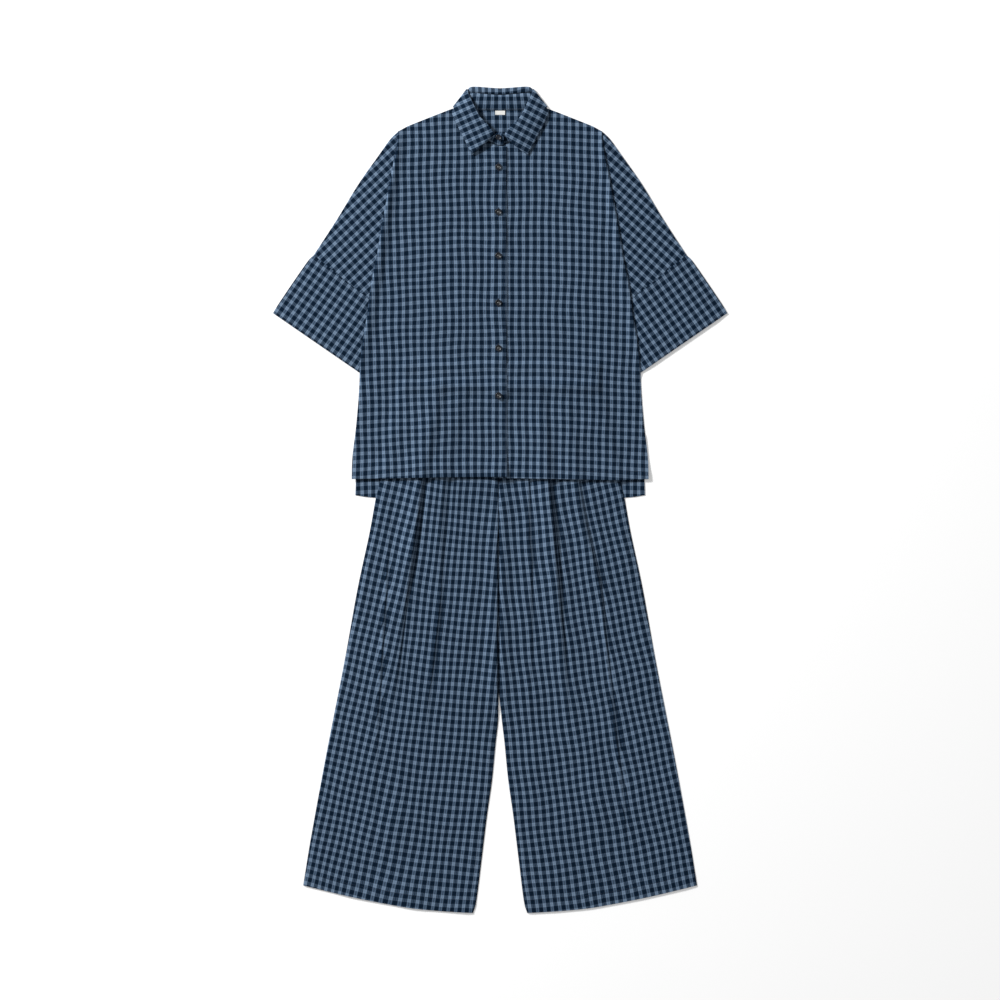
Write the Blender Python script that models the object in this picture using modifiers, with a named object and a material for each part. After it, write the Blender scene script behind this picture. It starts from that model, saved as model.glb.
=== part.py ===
"""Blouse and wide trousers in gingham cotton, buttoned and laid flat, the trousers tucked into the blouse.

Metres, +Z up. The origin is on the floor under the middle of the set, +Y points to the collar.
Each cut piece is one thin wall. The pieces are made from the floor upwards, and each is laid on
those that are there already. Left and right are the wearer's, so the right side is at -X.
"""
import math

import bmesh
import bpy
from mathutils import Matrix, Vector
from mathutils.bvhtree import BVHTree

# Walls and gaps
CLOTH = 0.0010
COLLAR_WALL = 0.0012
WAISTBAND_WALL = 0.0015
GAP = 0.0003
SEAM = 0.0004

# Heights of the layers that lie flat on the floor
TUBE_HEIGHT = 2 * CLOTH + GAP
WAISTBAND_FLOOR = CLOTH + GAP
WAISTBAND_HEIGHT = 2 * WAISTBAND_WALL + GAP

# Blouse
PLACKET_EDGE = 0.0119
SLEEVE_TUCK = 0.0110
SIDE_TUCK = 0.0030
ARMHOLE_SEAM = 0.0012
VENT_TOP = 0.1269
VENT_BLEND = 0.0500
BUTTON_X = -0.0033
BUTTON_ROWS = (0.6240, 0.5396, 0.4577, 0.3692, 0.2844, 0.1952)
BUTTON_RADIUS = 0.0060
BUTTON_THICKNESS = 0.0024
COLLAR_BUTTON = (-0.0031, 0.6791)
COLLAR_BUTTON_RADIUS = 0.0052
LABEL_SIZE = (0.0188, 0.0080, 0.0010)
LABEL_Y = 0.7255

# Trousers
WAIST_Y = 0.2169
WAISTBAND_DEPTH = 0.0350
WAIST_HALF = 0.1822
PLEAT_FOOT = 0.0110

# Outlines of one half. Columns: distance from the centre line, y
SHOULDER = ((0.1912, 0.6904), (0.1741, 0.7001), (0.1345, 0.7159), (0.0893, 0.7335))
SLEEVE_TOP = ((0.1912, 0.6904), (0.2056, 0.6765), (0.2266, 0.6474), (0.2662, 0.5910),
              (0.3055, 0.5265), (0.3494, 0.4588))
BAND_TOP = ((0.3494, 0.4588), (0.3635, 0.4436), (0.4109, 0.3744), (0.4261, 0.3499))
BAND_SEAM_INNER = (0.2468, 0.3690)
SEAM_ACROSS = (0.55, -0.83)
SLEEVE_HEM_INNER = (0.2639, 0.2362)
ARMHOLE = ((0.1912, 0.6904), (0.1923, 0.6718), (0.1988, 0.6354), (0.2065, 0.5972), (0.2142, 0.5531),
           (0.2232, 0.5053), (0.2305, 0.4575), (0.2365, 0.4307), (0.2444, 0.3864))
SIDE = ((0.2444, 0.3864), (0.2502, 0.3396), (0.2572, 0.2996), (0.2618, 0.2616), (0.2637, 0.2151),
        (0.2658, 0.1813), (0.2690, 0.1442), (0.2708, 0.1269))
FRONT_VENT = ((0.2708, 0.1269), (0.2744, 0.1026), (0.2774, 0.0739), (0.2782, 0.0388))
BACK_VENT = ((0.2703, 0.1269), (0.2708, 0.0369), (0.2716, 0.0084))
BACK_HEM = ((0.2716, 0.0084), (0.2328, 0.0036), (0.1128, -0.0006), (0.0000, -0.0021))
BACK_NECK = ((0.0893, 0.7335), (0.0815, 0.7322), (0.0600, 0.7320), (0.0000, 0.7320))
FRONT_NECK = ((0.0893, 0.7335), (0.0790, 0.7251), (0.0678, 0.7129), (0.0565, 0.6988),
              (0.0415, 0.6829), (0.0247, 0.6707), (0.0022, 0.6628), (-0.0119, 0.6624))
RIGHT_FRONT_HEM = ((0.2782, 0.0388), (0.2253, 0.0396), (0.1128, 0.0418), (0.0000, 0.0428), (-0.0119, 0.0428))
LEFT_FRONT_HEM = ((0.2782, 0.0388), (0.2191, 0.0364), (0.0953, 0.0388), (0.0119, 0.0405), (-0.0119, 0.0410))
TROUSER_SIDE = ((0.1822, 0.2169), (0.2047, 0.1307), (0.2247, 0.0354), (0.2333, -0.0009),
                (0.2448, -0.0641), (0.2671, -0.1684), (0.2922, -0.3073), (0.3258, -0.4789),
                (0.3550, -0.6381), (0.3687, -0.7234))
TROUSER_HEM = ((0.3687, -0.7234), (0.3187, -0.7359), (0.2684, -0.7474), (0.2183, -0.7573),
               (0.1681, -0.7661), (0.1178, -0.7712), (0.0676, -0.7744), (0.0513, -0.7749))
TROUSER_INNER = ((0.0003, 0.2169), (0.0004, -0.0381), (0.0012, -0.3381), (0.0030, -0.4037),
                 (0.0087, -0.4562), (0.0158, -0.5274), (0.0248, -0.5906), (0.0353, -0.6756),
                 (0.0447, -0.7506), (0.0513, -0.7749))

# Grids of the panels, as shares of their height and width. Rows are closer where a panel steps up
BACK_ROWS = (0.0, 0.06, 0.14, 0.18, 0.24, 0.32, 0.38, 0.44, 0.49, 0.54, 0.60, 0.66, 0.72, 0.78, 0.84,
             0.90, 0.96, 1.0)
BACK_COLUMNS = (0.0, 0.10, 0.19, 0.254, 0.30, 0.40, 0.50, 0.60, 0.70, 0.746, 0.81, 0.90, 1.0)
FRONT_ROWS = (0.0, 0.03, 0.08, 0.14, 0.20, 0.26, 0.32, 0.37, 0.42, 0.48, 0.54, 0.60, 0.66, 0.72, 0.78,
              0.84, 0.90, 0.95, 1.0)
FRONT_COLUMNS = (0.0, 0.10, 0.22, 0.34, 0.42, 0.502, 0.56, 0.62, 0.69, 0.77, 0.85, 0.90, 0.95, 1.0)
SLEEVE_ROWS = (0.0, 0.10, 0.24, 0.42, 0.60, 0.80, 1.0)
BAND_ROWS = (0.0, 0.25, 0.5, 0.75, 1.0)
SLEEVE_COLUMNS = (0.0, 0.12, 0.26, 0.40, 0.54, 0.68, 0.84, 1.0)
LEG_ROWS = (0.0, 0.07, 0.14, 0.21, 0.28, 0.35, 0.41, 0.47, 0.53, 0.58, 0.63, 0.67, 0.705, 0.735, 0.76,
            0.785, 0.82, 0.86, 0.91, 0.96, 1.0)
LEG_BACK_COLUMNS = (0.0, 0.2, 0.4, 0.6, 0.8, 1.0)
WAISTBAND_ROWS = (0.0, 0.5, 1.0)
WAISTBAND_COLUMNS = (-1.0, -0.75, -0.5, -0.25, 0.0, 0.25, 0.5, 0.75, 1.0)

# Shares of an edge line: the vent in the side, the side in the whole edge, the corner of the band
BACK_VENT_SHARE = 0.32
BACK_SIDE_SHARE = 0.55
FRONT_VENT_SHARE = 0.25
FRONT_SIDE_SHARE = 0.53
BAND_CORNER_SHARE = 0.2

# How the cloth is laid: places looked at along a cell's side, and rounds of softening
SAMPLES = 12
FRONT_ROUNDS = 6
FOLD_SHOULDER = 0.3

# Soft folds of each front leg, from -X to +X. Columns: y, x of the crest, rise of the crest
RIGHT_LEG_FOLDS = (
    ((0.2169, -0.1500, 0.0000), (0.0369, -0.2000, 0.0005), (-0.1468, -0.2103, 0.0018),
     (-0.2799, -0.2197, 0.0030), (-0.3756, -0.2272, 0.0034), (-0.4731, -0.2290, 0.0026),
     (-0.5912, -0.2347, 0.0010), (-0.7600, -0.2430, 0.0000)),
    ((0.2169, -0.1080, 0.0015), (0.0369, -0.1428, 0.0040), (-0.0418, -0.1522, 0.0050),
     (-0.1131, -0.1619, 0.0055), (-0.1787, -0.1728, 0.0050), (-0.2387, -0.1803, 0.0042),
     (-0.3306, -0.1897, 0.0024), (-0.3900, -0.1990, 0.0008), (-0.7700, -0.1750, 0.0000)),
    ((0.2169, -0.0620, 0.0010), (0.0351, -0.0997, 0.0024), (-0.0774, -0.1053, 0.0028),
     (-0.1881, -0.1090, 0.0026), (-0.2912, -0.1210, 0.0024), (-0.4131, -0.1353, 0.0016),
     (-0.4900, -0.1420, 0.0006), (-0.7740, -0.1180, 0.0000)),
)
LEFT_LEG_FOLDS = (
    ((0.2169, 0.0420, 0.0010), (0.0369, 0.0556, 0.0028), (-0.0756, 0.0575, 0.0036),
     (-0.1131, 0.0616, 0.0036), (-0.1768, 0.0597, 0.0034), (-0.2631, 0.0616, 0.0026),
     (-0.3718, 0.0578, 0.0010), (-0.7740, 0.0900, 0.0000)),
    ((0.2169, 0.0800, 0.0015), (0.0369, 0.0948, 0.0036), (-0.0531, 0.1042, 0.0048),
     (-0.1674, 0.1122, 0.0052), (-0.2631, 0.1203, 0.0042), (-0.3718, 0.1291, 0.0018),
     (-0.4300, 0.1340, 0.0004), (-0.7690, 0.1450, 0.0000)),
    ((0.2169, 0.1250, 0.0010), (0.0332, 0.1492, 0.0026), (-0.0531, 0.1647, 0.0038),
     (-0.1449, 0.1872, 0.0044), (-0.2331, 0.1977, 0.0038), (-0.3287, 0.2075, 0.0030),
     (-0.4506, 0.2225, 0.0018), (-0.5968, 0.2350, 0.0006), (-0.7550, 0.2450, 0.0000)),
)

# Collar, one half from its front edge round to the middle of the back. At the side the flat ring
# turns over a fold line, so that its back half lies under its front half.
# Columns: roll line x, y; outer edge of the leaf x, y; lower edge of the stand x, y; depth of the
# leaf between the stand and the roll line
COLLAR_FRONT = (
    (0.0119, 0.6902, 0.0522, 0.6459, 0.0190, 0.6720, 0.0022),
    (0.0239, 0.7033, 0.0650, 0.6716, 0.0370, 0.6845, 0.0024),
    (0.0382, 0.7179, 0.0762, 0.6932, 0.0540, 0.7010, 0.0026),
    (0.0511, 0.7429, 0.0850, 0.7110, 0.0690, 0.7190, 0.0034),
    (0.0598, 0.7610, 0.0900, 0.7255, 0.0790, 0.7300, 0.0050),
)
COLLAR_FOLD = (0.0610, 0.7685, 0.0868, 0.7350, 0.0800, 0.7390, 0.0070)
COLLAR_BACK = (
    (0.0560, 0.7732, 0.0720, 0.7350, 0.0700, 0.7308, 0.0105),
    (0.0440, 0.7741, 0.0540, 0.7336, 0.0520, 0.7303, 0.0118),
    (0.0228, 0.7725, 0.0265, 0.7333, 0.0260, 0.7301, 0.0120),
    (0.0000, 0.7711, 0.0000, 0.7332, 0.0000, 0.7300, 0.0120),
)
# Rounded ends of the stand, past the leaf. Columns: upper edge x, y; lower edge x, y
STAND_END = (
    (-0.0066, 0.6785, -0.0058, 0.6640),
    (-0.0040, 0.6850, -0.0020, 0.6636),
    (0.0040, 0.6882, 0.0070, 0.6650),
)
UNDER_END_RISE = 0.0030
COLLAR_PITCH = COLLAR_WALL + GAP
STAND_BACK_Z = CLOTH + GAP + 0.0002 + COLLAR_WALL / 2
STAND_UNDER_Z = STAND_BACK_Z + COLLAR_PITCH
STAND_OVER_Z = STAND_UNDER_Z + COLLAR_PITCH + 0.0002
LEAF_EDGE_Z = 0.0034
LEAF_DROPS = (1.0, 1.0, 1.0, 0.5, 0.1)
STAND_COVER = 0.10
COVER_LIMIT = 0.88
FOLD_STEPS = 4
ROLL_BEND = 0.29
ROLL_TURN = 0.15

# Half profile of a button. Columns: share of the radius, share of the thickness
BUTTON_PROFILE = ((0.0, 0.62), (0.60, 0.62), (0.78, 0.95), (0.90, 1.0), (1.0, 0.75), (0.92, 0.12),
                  (0.80, 0.0), (0.0, 0.0))
BUTTON_STEPS = 14
BUTTON_WELD = 0.00005

# Finishes
CLOTH_COLOUR = (0.045, 0.085, 0.135, 1.0)
CLOTH_ROUGHNESS = 0.85
BUTTON_COLOUR = (0.012, 0.015, 0.022, 1.0)
BUTTON_ROUGHNESS = 0.35
LABEL_COLOUR = (0.80, 0.80, 0.78, 1.0)
LABEL_ROUGHNESS = 0.8


def clear_scene():
    """Remove every object that the file holds."""
    for item in list(bpy.data.objects):
        bpy.data.objects.remove(item, do_unlink=True)


def finish(name, colour, roughness):
    """A plain material for one piece."""
    material = bpy.data.materials.new(name)
    material.use_nodes = True
    shader = material.node_tree.nodes["Principled BSDF"]
    shader.inputs["Base Color"].default_value = colour
    shader.inputs["Roughness"].default_value = roughness
    shader.inputs["Metallic"].default_value = 0.0
    return material


def line(table, side=1):
    """A smooth line through a table of half outline points; side -1 mirrors it."""
    points = [Vector((side * x, y, 0.0)) for x, y in table]
    lengths = [0.0]
    for before, after in zip(points, points[1:]):
        lengths.append(lengths[-1] + (after - before).length)

    def at(part):
        reach = part * lengths[-1]
        index = 0
        while index < len(points) - 2 and lengths[index + 1] < reach:
            index += 1
        step = (reach - lengths[index]) / (lengths[index + 1] - lengths[index])
        start = points[index]
        end = points[index + 1]
        ahead = points[min(index + 2, len(points) - 1)]
        behind = points[max(index - 1, 0)]
        leave = (end - behind) * 0.5
        arrive = (ahead - start) * 0.5
        if index == 0:
            leave = end - start
        if index + 2 > len(points) - 1:
            arrive = end - start
        return (start * (1 + step * step * (2 * step - 3)) + end * (step * step * (3 - 2 * step))
                + leave * (step * (1 - step) ** 2) - arrive * (step * step * (1 - step)))
    return at


def joined(first, second, share):
    """Two lines as one, the first taking its share of the way."""
    def at(part):
        if part <= share:
            return first(part / share)
        return second((part - share) / (1 - share))
    return at


def straight(start, end):
    """The straight line between two points."""
    def at(part):
        return start.lerp(end, part)
    return at


def tucked(path, side, gap):
    """A side line drawn in towards the middle, where it runs under the edge of the front."""
    def at(part):
        point = path(part)
        rise = (point.y - SLEEVE_HEM_INNER[1]) / (ARMHOLE[-1][1] - SLEEVE_HEM_INNER[1])
        tuck = SIDE_TUCK + (SLEEVE_TUCK - SIDE_TUCK) * min(1.0, max(0.0, rise))
        tuck *= min(1.0, max(0.0, (point.y - VENT_TOP) / VENT_BLEND))
        return point - Vector((side * (tuck + gap), 0.0, 0.0))
    return at


def patch(columns, rows, left, right, bottom, top):
    """Points spread between four edge lines. Rows run from the bottom to the top."""
    corner = (bottom(0), bottom(1), top(0), top(1))
    grid = []
    for v in rows:
        row = []
        for u in columns:
            sides = left(v).lerp(right(v), u) + bottom(u).lerp(top(u), v)
            row.append(sides - corner[0].lerp(corner[1], u).lerp(corner[2].lerp(corner[3], u), v))
        grid.append(row)
    return grid


def table_value(table, place, column):
    """A column of a table at a place along its first column."""
    rows = sorted(table, key=lambda entry: entry[0])
    if place <= rows[0][0]:
        return rows[0][column]
    for low, high in zip(rows, rows[1:]):
        if place <= high[0]:
            part = (place - low[0]) / (high[0] - low[0])
            return low[column] + (high[column] - low[column]) * part
    return rows[-1][column]


def surface_under(pieces):
    """Search trees of the finished shapes of the pieces that lie below."""
    bpy.context.view_layer.update()
    depsgraph = bpy.context.evaluated_depsgraph_get()
    return [BVHTree.FromObject(piece, depsgraph) for piece in pieces]


def height_at(trees, x, y):
    """The highest point of the pieces below one place, or None over the bare floor."""
    highest = None
    for tree in trees:
        hit = tree.ray_cast(Vector((x, y, 1.0)), Vector((0.0, 0.0, -1.0)))[0]
        if hit is not None and (highest is None or hit.z > highest):
            highest = hit.z
    return highest


def lay(grid, pieces, clearance=GAP):
    """Give each point of a grid the height at which its cells clear everything below them."""
    trees = surface_under(pieces)
    rows = len(grid)
    columns = len(grid[0])
    floor = [[0.0] * columns for _ in range(rows)]
    for i in range(rows - 1):
        for j in range(columns - 1):
            best = 0.0
            for a in range(SAMPLES + 1):
                low = grid[i][j].lerp(grid[i][j + 1], a / SAMPLES)
                high = grid[i + 1][j].lerp(grid[i + 1][j + 1], a / SAMPLES)
                for b in range(SAMPLES + 1):
                    place = low.lerp(high, b / SAMPLES)
                    height = height_at(trees, place.x, place.y)
                    if height is not None:
                        best = max(best, height + clearance)
            for row, column in ((i, j), (i + 1, j), (i, j + 1), (i + 1, j + 1)):
                floor[row][column] = max(floor[row][column], best)
    return floor


def relax(heights, rounds):
    """Let the cloth span softly between the points that hold it up."""
    held = [list(row) for row in heights]
    for _ in range(rounds):
        before = [list(row) for row in heights]
        for i in range(1, len(heights) - 1):
            for j in range(1, len(heights[0]) - 1):
                mean = (before[i - 1][j] + before[i + 1][j] + before[i][j - 1] + before[i][j + 1]) / 4
                heights[i][j] = max(held[i][j], mean)
    return heights


def link(item, material):
    """Put a piece in the set's collection with its own material."""
    collection.objects.link(item)
    item.data.materials.append(material)
    return item


def sheet(name, grid, wall, offset=1.0, closed=False):
    """A wall of cloth on a grid of points. A closed grid is welded along its first and last columns."""
    rows = len(grid)
    columns = len(grid[0])
    shape = bmesh.new()
    bmesh.ops.create_grid(shape, x_segments=columns - 1, y_segments=rows - 1, size=0.5)
    for vertex in shape.verts:
        column = round((vertex.co.x + 0.5) * (columns - 1))
        row = round((vertex.co.y + 0.5) * (rows - 1))
        vertex.co = grid[row][column]
    if closed:
        bmesh.ops.remove_doubles(shape, verts=shape.verts, dist=1e-6)
        bmesh.ops.recalc_face_normals(shape, faces=shape.faces)
    shape.normal_update()
    mesh = bpy.data.meshes.new(name)
    shape.to_mesh(mesh)
    shape.free()
    mesh.shade_smooth()
    piece = link(bpy.data.objects.new(name, mesh), finish(name, CLOTH_COLOUR, CLOTH_ROUGHNESS))
    solid = piece.modifiers.new("wall", "SOLIDIFY")
    solid.thickness = wall
    solid.offset = offset
    if closed:
        piece.modifiers.new("triangles", "TRIANGULATE")
    return piece


def laid_sheet(name, grid, pieces, rise=None, rounds=0, clearance=GAP):
    """A panel laid on the pieces below it, with folds added by rise(row, column)."""
    heights = lay(grid, pieces, clearance)
    if rounds:
        heights = relax(heights, rounds)
    for i, row in enumerate(grid):
        for j, point in enumerate(row):
            point.z = heights[i][j] + (rise(i, j) if rise else 0.0)
    return sheet(name, grid, CLOTH)


def flat_tube(name, grid, floor, height, wall):
    """A flattened tube: the grid's rows are its upper and its lower layer, joined by a fold at each end."""
    radius = height / 2
    loops = []
    for row in grid:
        outward = (row[-1] - row[0]).normalized()
        inner = list(row)
        inner[0] = row[0] + outward * radius
        inner[-1] = row[-1] - outward * radius
        bow = radius * (1 - math.sqrt(0.5))
        loop = []
        for point in inner:
            loop.append(Vector((point.x, point.y, floor + height)))
        for turn in (row[-1] - outward * bow, row[-1], row[-1] - outward * bow):
            loop.append(turn.copy())
        for step, index in enumerate((-3, -2, -1)):
            loop[index].z = floor + radius * (1 + math.cos(math.pi * (step + 1) / 4))
        for point in reversed(inner):
            loop.append(Vector((point.x, point.y, floor)))
        for turn in (row[0] + outward * bow, row[0], row[0] + outward * bow):
            loop.append(turn.copy())
        for step, index in enumerate((-3, -2, -1)):
            loop[index].z = floor + radius * (1 - math.cos(math.pi * (step + 1) / 4))
        loop.append(loop[0].copy())
        loops.append(loop)
    return sheet(name, loops, wall, offset=-1.0, closed=True)


def blouse_back():
    """The back, flat on the floor, cut back a little under the arms so that the sleeves butt against it."""
    sides = []
    for side in (-1, 1):
        vent = line(tuple(reversed(BACK_VENT)), side)
        lower = joined(vent, line(tuple(reversed(SIDE)), side), BACK_VENT_SHARE)
        whole = joined(lower, line(tuple(reversed(ARMHOLE)), side), BACK_SIDE_SHARE)
        sides.append(tucked(whole, side, 0.0))
    left, right = sides
    top = back_top(left(1.0), right(1.0))
    hem_left = line(BACK_HEM, -1)
    hem_right = line(tuple(reversed(BACK_HEM)), 1)
    bottom = joined(hem_left, hem_right, 0.5)
    return sheet("blouse_back", patch(BACK_COLUMNS, BACK_ROWS, left, right, bottom, top), CLOTH)


def back_top(start, end):
    """The shoulder lines and the back neckline, spaced evenly across."""
    table = [(-x, y) for x, y in SHOULDER[1:]] + [(-x, y) for x, y in BACK_NECK[1:]]
    table += [(x, y) for x, y in reversed(BACK_NECK[:-1])] + [(x, y) for x, y in reversed(SHOULDER[1:-1])]
    return across([(start.x, start.y)] + table + [(end.x, end.y)])


def across(table):
    """A line read by its distance across, so that columns stay upright."""
    def at(part):
        x = table[0][0] + (table[-1][0] - table[0][0]) * part
        for before, after in zip(table, table[1:]):
            low = min(before[0], after[0])
            high = max(before[0], after[0])
            if low <= x <= high and high > low:
                step = (x - before[0]) / (after[0] - before[0])
                return Vector((x, before[1] + (after[1] - before[1]) * step, 0.0))
        return Vector((table[-1][0], table[-1][1], 0.0))
    return at


def sleeves(side, name):
    """One sleeve and its band: two flattened tubes that meet at the band seam, under the front's edge."""
    def across_cut(outer_end, inner_end, drop):
        shift = Vector((side * SEAM_ACROSS[0], SEAM_ACROSS[1], 0.0)) * drop
        start = Vector((side * outer_end[0], outer_end[1], 0.0)) + shift
        end = beside_back(side, Vector((0.0, inner_end[1], 0.0)) + shift, Vector((0.0, 0.0, 0.0)))(0.0)
        return straight(start, end)
    armhole = tucked(line(ARMHOLE, side), side, -ARMHOLE_SEAM)
    sleeve_end = across_cut(BAND_TOP[0], BAND_SEAM_INNER, 0.0)
    band_start = across_cut(BAND_TOP[0], BAND_SEAM_INNER, SEAM)
    hem = across_cut(BAND_TOP[-1], SLEEVE_HEM_INNER, 0.0)
    under_sleeve = beside_back(side, armhole(1.0), sleeve_end(1.0))
    sleeve = patch(SLEEVE_COLUMNS, SLEEVE_ROWS, line(SLEEVE_TOP, side), under_sleeve, armhole, sleeve_end)
    band_top = line(BAND_TOP, side)
    band_outer = joined(straight(band_start(0.0), band_top(BAND_CORNER_SHARE)),
                        lambda part: band_top(BAND_CORNER_SHARE + (1 - BAND_CORNER_SHARE) * part),
                        BAND_CORNER_SHARE)
    under_band = beside_back(side, band_start(1.0), hem(1.0))
    cuff = patch(SLEEVE_COLUMNS, BAND_ROWS, band_outer, under_band, band_start, hem)
    return [flat_tube("sleeve_" + name, sleeve, 0.0, TUBE_HEIGHT, CLOTH),
            flat_tube("sleeve_band_" + name, cuff, 0.0, TUBE_HEIGHT, CLOTH)]


def beside_back(side, start, end):
    """The inner edge of a sleeve between two heights, along the side of the back."""
    def at(part):
        y = start.y + (end.y - start.y) * part
        point = Vector((side * table_value([(low, x) for x, low in SIDE], y, 1), y, 0.0))
        return under_arm(point, side)
    return at


def under_arm(point, side):
    """A point of the side line moved to where a sleeve ends against the back."""
    return tucked(lambda part: point, side, -ARMHOLE_SEAM)(0.0)


def leg_edges(side):
    """The inner edge, side edge, hem and waist edge of one leg."""
    inner = line(tuple(reversed(TROUSER_INNER)), side)
    outer = line(tuple(reversed(TROUSER_SIDE)), side)
    hem = line(tuple(reversed(TROUSER_HEM)), side)
    waist = straight(inner(1.0), outer(1.0))
    return inner, outer, hem, waist


def trouser_back(side, name, below):
    """A back leg: it lies on the floor and steps up over the blouse's back hem."""
    inner, outer, hem, waist = leg_edges(side)
    grid = patch(LEG_BACK_COLUMNS, LEG_ROWS, inner, outer, hem, waist)
    if side < 0:
        grid = [list(reversed(row)) for row in grid]
    return laid_sheet("trouser_back_" + name, grid, below)


def trouser_front(side, name, folds, below):
    """A front leg whose columns follow its folds: each rises slowly and drops steeply on its +X side."""
    inner, outer, hem, waist = leg_edges(side)
    left, right = (outer, inner) if side < 0 else (inner, outer)
    grid = []
    rises = []
    for v in LEG_ROWS:
        start = left(v)
        end = right(v)
        row = [start]
        rise = [0.0]
        last = start.x
        for fold in folds:
            crest = table_value(fold, start.y, 1)
            lift = table_value(fold, start.y, 2)
            row += [Vector(((last + crest) / 2, 0.0, 0.0)), Vector((crest, 0.0, 0.0)),
                    Vector((crest + PLEAT_FOOT, 0.0, 0.0))]
            rise += [lift * FOLD_SHOULDER, lift, 0.0]
            last = crest + PLEAT_FOOT
        row += [Vector(((last + end.x) / 2, 0.0, 0.0)), end]
        rise += [0.0, 0.0]
        for point in row:
            part = (point.x - start.x) / (end.x - start.x)
            on_hem = hem(1 - part if side < 0 else part)
            on_waist = waist(1 - part if side < 0 else part)
            climb = (start.y - left(0).y) / (left(1).y - left(0).y)
            point.y = on_hem.y + (on_waist.y - on_hem.y) * climb
        row[-1].y = end.y
        grid.append(row)
        rises.append(rise)
    return laid_sheet("trouser_front_" + name, grid, below, rise=lambda i, j: rises[i][j])


def waistband():
    """The elastic casing, one flattened tube round the waist."""
    grid = []
    for share in WAISTBAND_ROWS:
        y = WAIST_Y + SEAM + WAISTBAND_DEPTH * share
        grid.append([Vector((WAIST_HALF * part, y, 0.0)) for part in WAISTBAND_COLUMNS])
    return flat_tube("waistband", grid, WAISTBAND_FLOOR, WAISTBAND_HEIGHT, WAISTBAND_WALL)


def blouse_front(side, name, hem, below):
    """A front laid over everything else, from its side seam to its edge at the placket."""
    vent = line(tuple(reversed(FRONT_VENT)), side)
    side_seam = line(tuple(reversed(SIDE)), side)
    armhole = line(tuple(reversed(ARMHOLE)), side)
    outer = joined(joined(vent, side_seam, FRONT_VENT_SHARE), armhole, FRONT_SIDE_SHARE)
    edge_x = side * -PLACKET_EDGE
    top_table = [(side * x, y) for x, y in SHOULDER] + [(side * x, y) for x, y in FRONT_NECK[1:]]
    top = across(top_table)
    bottom = across([(side * x, y) for x, y in hem])
    inner = straight(Vector((edge_x, bottom(1).y, 0.0)), Vector((edge_x, top(1).y, 0.0)))
    grid = patch(FRONT_COLUMNS, FRONT_ROWS, outer, inner, bottom, top)
    if side > 0:
        grid = [list(reversed(row)) for row in grid]
    return laid_sheet("blouse_front_" + name, grid, below, rounds=FRONT_ROUNDS)


def collar_sections(side):
    """Sections of one half of the collar, from its front edge to the middle of the back.

    Each gives the roll point, the leaf's outer point, the stand's lower point, the leaf's depth on
    the stand side, the height of the stand's wall and the angle by which the ring has turned over.
    """
    over = side < 0
    sections = []
    for index, entry in enumerate(COLLAR_FRONT):
        part = index / (len(COLLAR_FRONT) - 1)
        level = STAND_UNDER_Z
        if over:
            level = STAND_OVER_Z + (STAND_UNDER_Z - STAND_OVER_Z) * max(0.0, (part - 0.5) / 0.5)
        sections.append(section(entry, side, level, 0.0, drop=LEAF_DROPS[index]))
    middle = (STAND_UNDER_Z + STAND_BACK_Z) / 2
    for step in range(FOLD_STEPS + 1):
        angle = math.pi * step / FOLD_STEPS
        sections.append(section(COLLAR_FOLD, side, middle, angle, (STAND_UNDER_Z - STAND_BACK_Z) / 2))
    for entry in COLLAR_BACK:
        sections.append(section(entry, side, STAND_BACK_Z, math.pi))
    return sections


def section(entry, side, level, angle, radius=0.0, drop=0.0):
    """One collar section. Its stand and leaf are turned about the fold line by the angle."""
    roll = Vector((side * entry[0], entry[1], 0.0))
    edge = Vector((side * entry[2], entry[3], 0.0))
    neck = Vector((side * entry[4], entry[5], 0.0))
    along = (roll - edge).normalized()
    outward = Vector((-along.y, along.x, 0.0)) * (1 if -along.y * side > 0 else -1)
    normal = Vector((0.0, 0.0, 1.0)) * math.cos(angle) + outward * math.sin(angle)
    stand_lift = Vector((0.0, 0.0, level)) + normal * radius
    leaf_lift = stand_lift + normal * COLLAR_PITCH
    return {"roll": roll, "edge": edge, "neck": neck, "depth": entry[6], "along": along,
            "stand": stand_lift, "leaf": leaf_lift, "drop": drop}


def leaf_points(part):
    """Points across the leaf: up from the stand to the roll line, over it, and out to the edge."""
    roll = part["roll"]
    along = part["along"]
    turn = COLLAR_PITCH / 2
    inner = roll - along * turn
    middle = (part["stand"] + part["leaf"]) / 2
    fall = part["edge"] - roll
    covered = min(COVER_LIMIT, (roll - part["neck"]).dot(along) / fall.length + STAND_COVER)
    edge_lift = part["leaf"].lerp(Vector((0.0, 0.0, LEAF_EDGE_Z)), part["drop"])
    points = [roll - along * part["depth"] + part["stand"],
              inner + part["stand"],
              roll - along * turn * ROLL_BEND + part["stand"].lerp(part["leaf"], ROLL_TURN),
              roll + middle,
              roll - along * turn * ROLL_BEND + part["stand"].lerp(part["leaf"], 1 - ROLL_TURN),
              inner + part["leaf"],
              roll + fall * covered * 0.5 + part["leaf"],
              roll + fall * covered + part["leaf"],
              part["edge"] + edge_lift]
    return points


def stand_points(part):
    """Points across the stand, from its lower edge to its seam with the leaf."""
    top = part["roll"] - part["along"] * (part["depth"] + GAP) + part["stand"]
    low = part["neck"] + part["stand"]
    return [low, low.lerp(top, 0.5), top]


def end_points(entry, side, level):
    """Points across a rounded end of the stand. The end underneath stops short of the right front."""
    top = Vector((side * entry[0], entry[1], level))
    low = Vector((side * entry[2], entry[3] + (UNDER_END_RISE if side > 0 else 0.0), level))
    return [low, low.lerp(top, 0.5), top]


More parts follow.
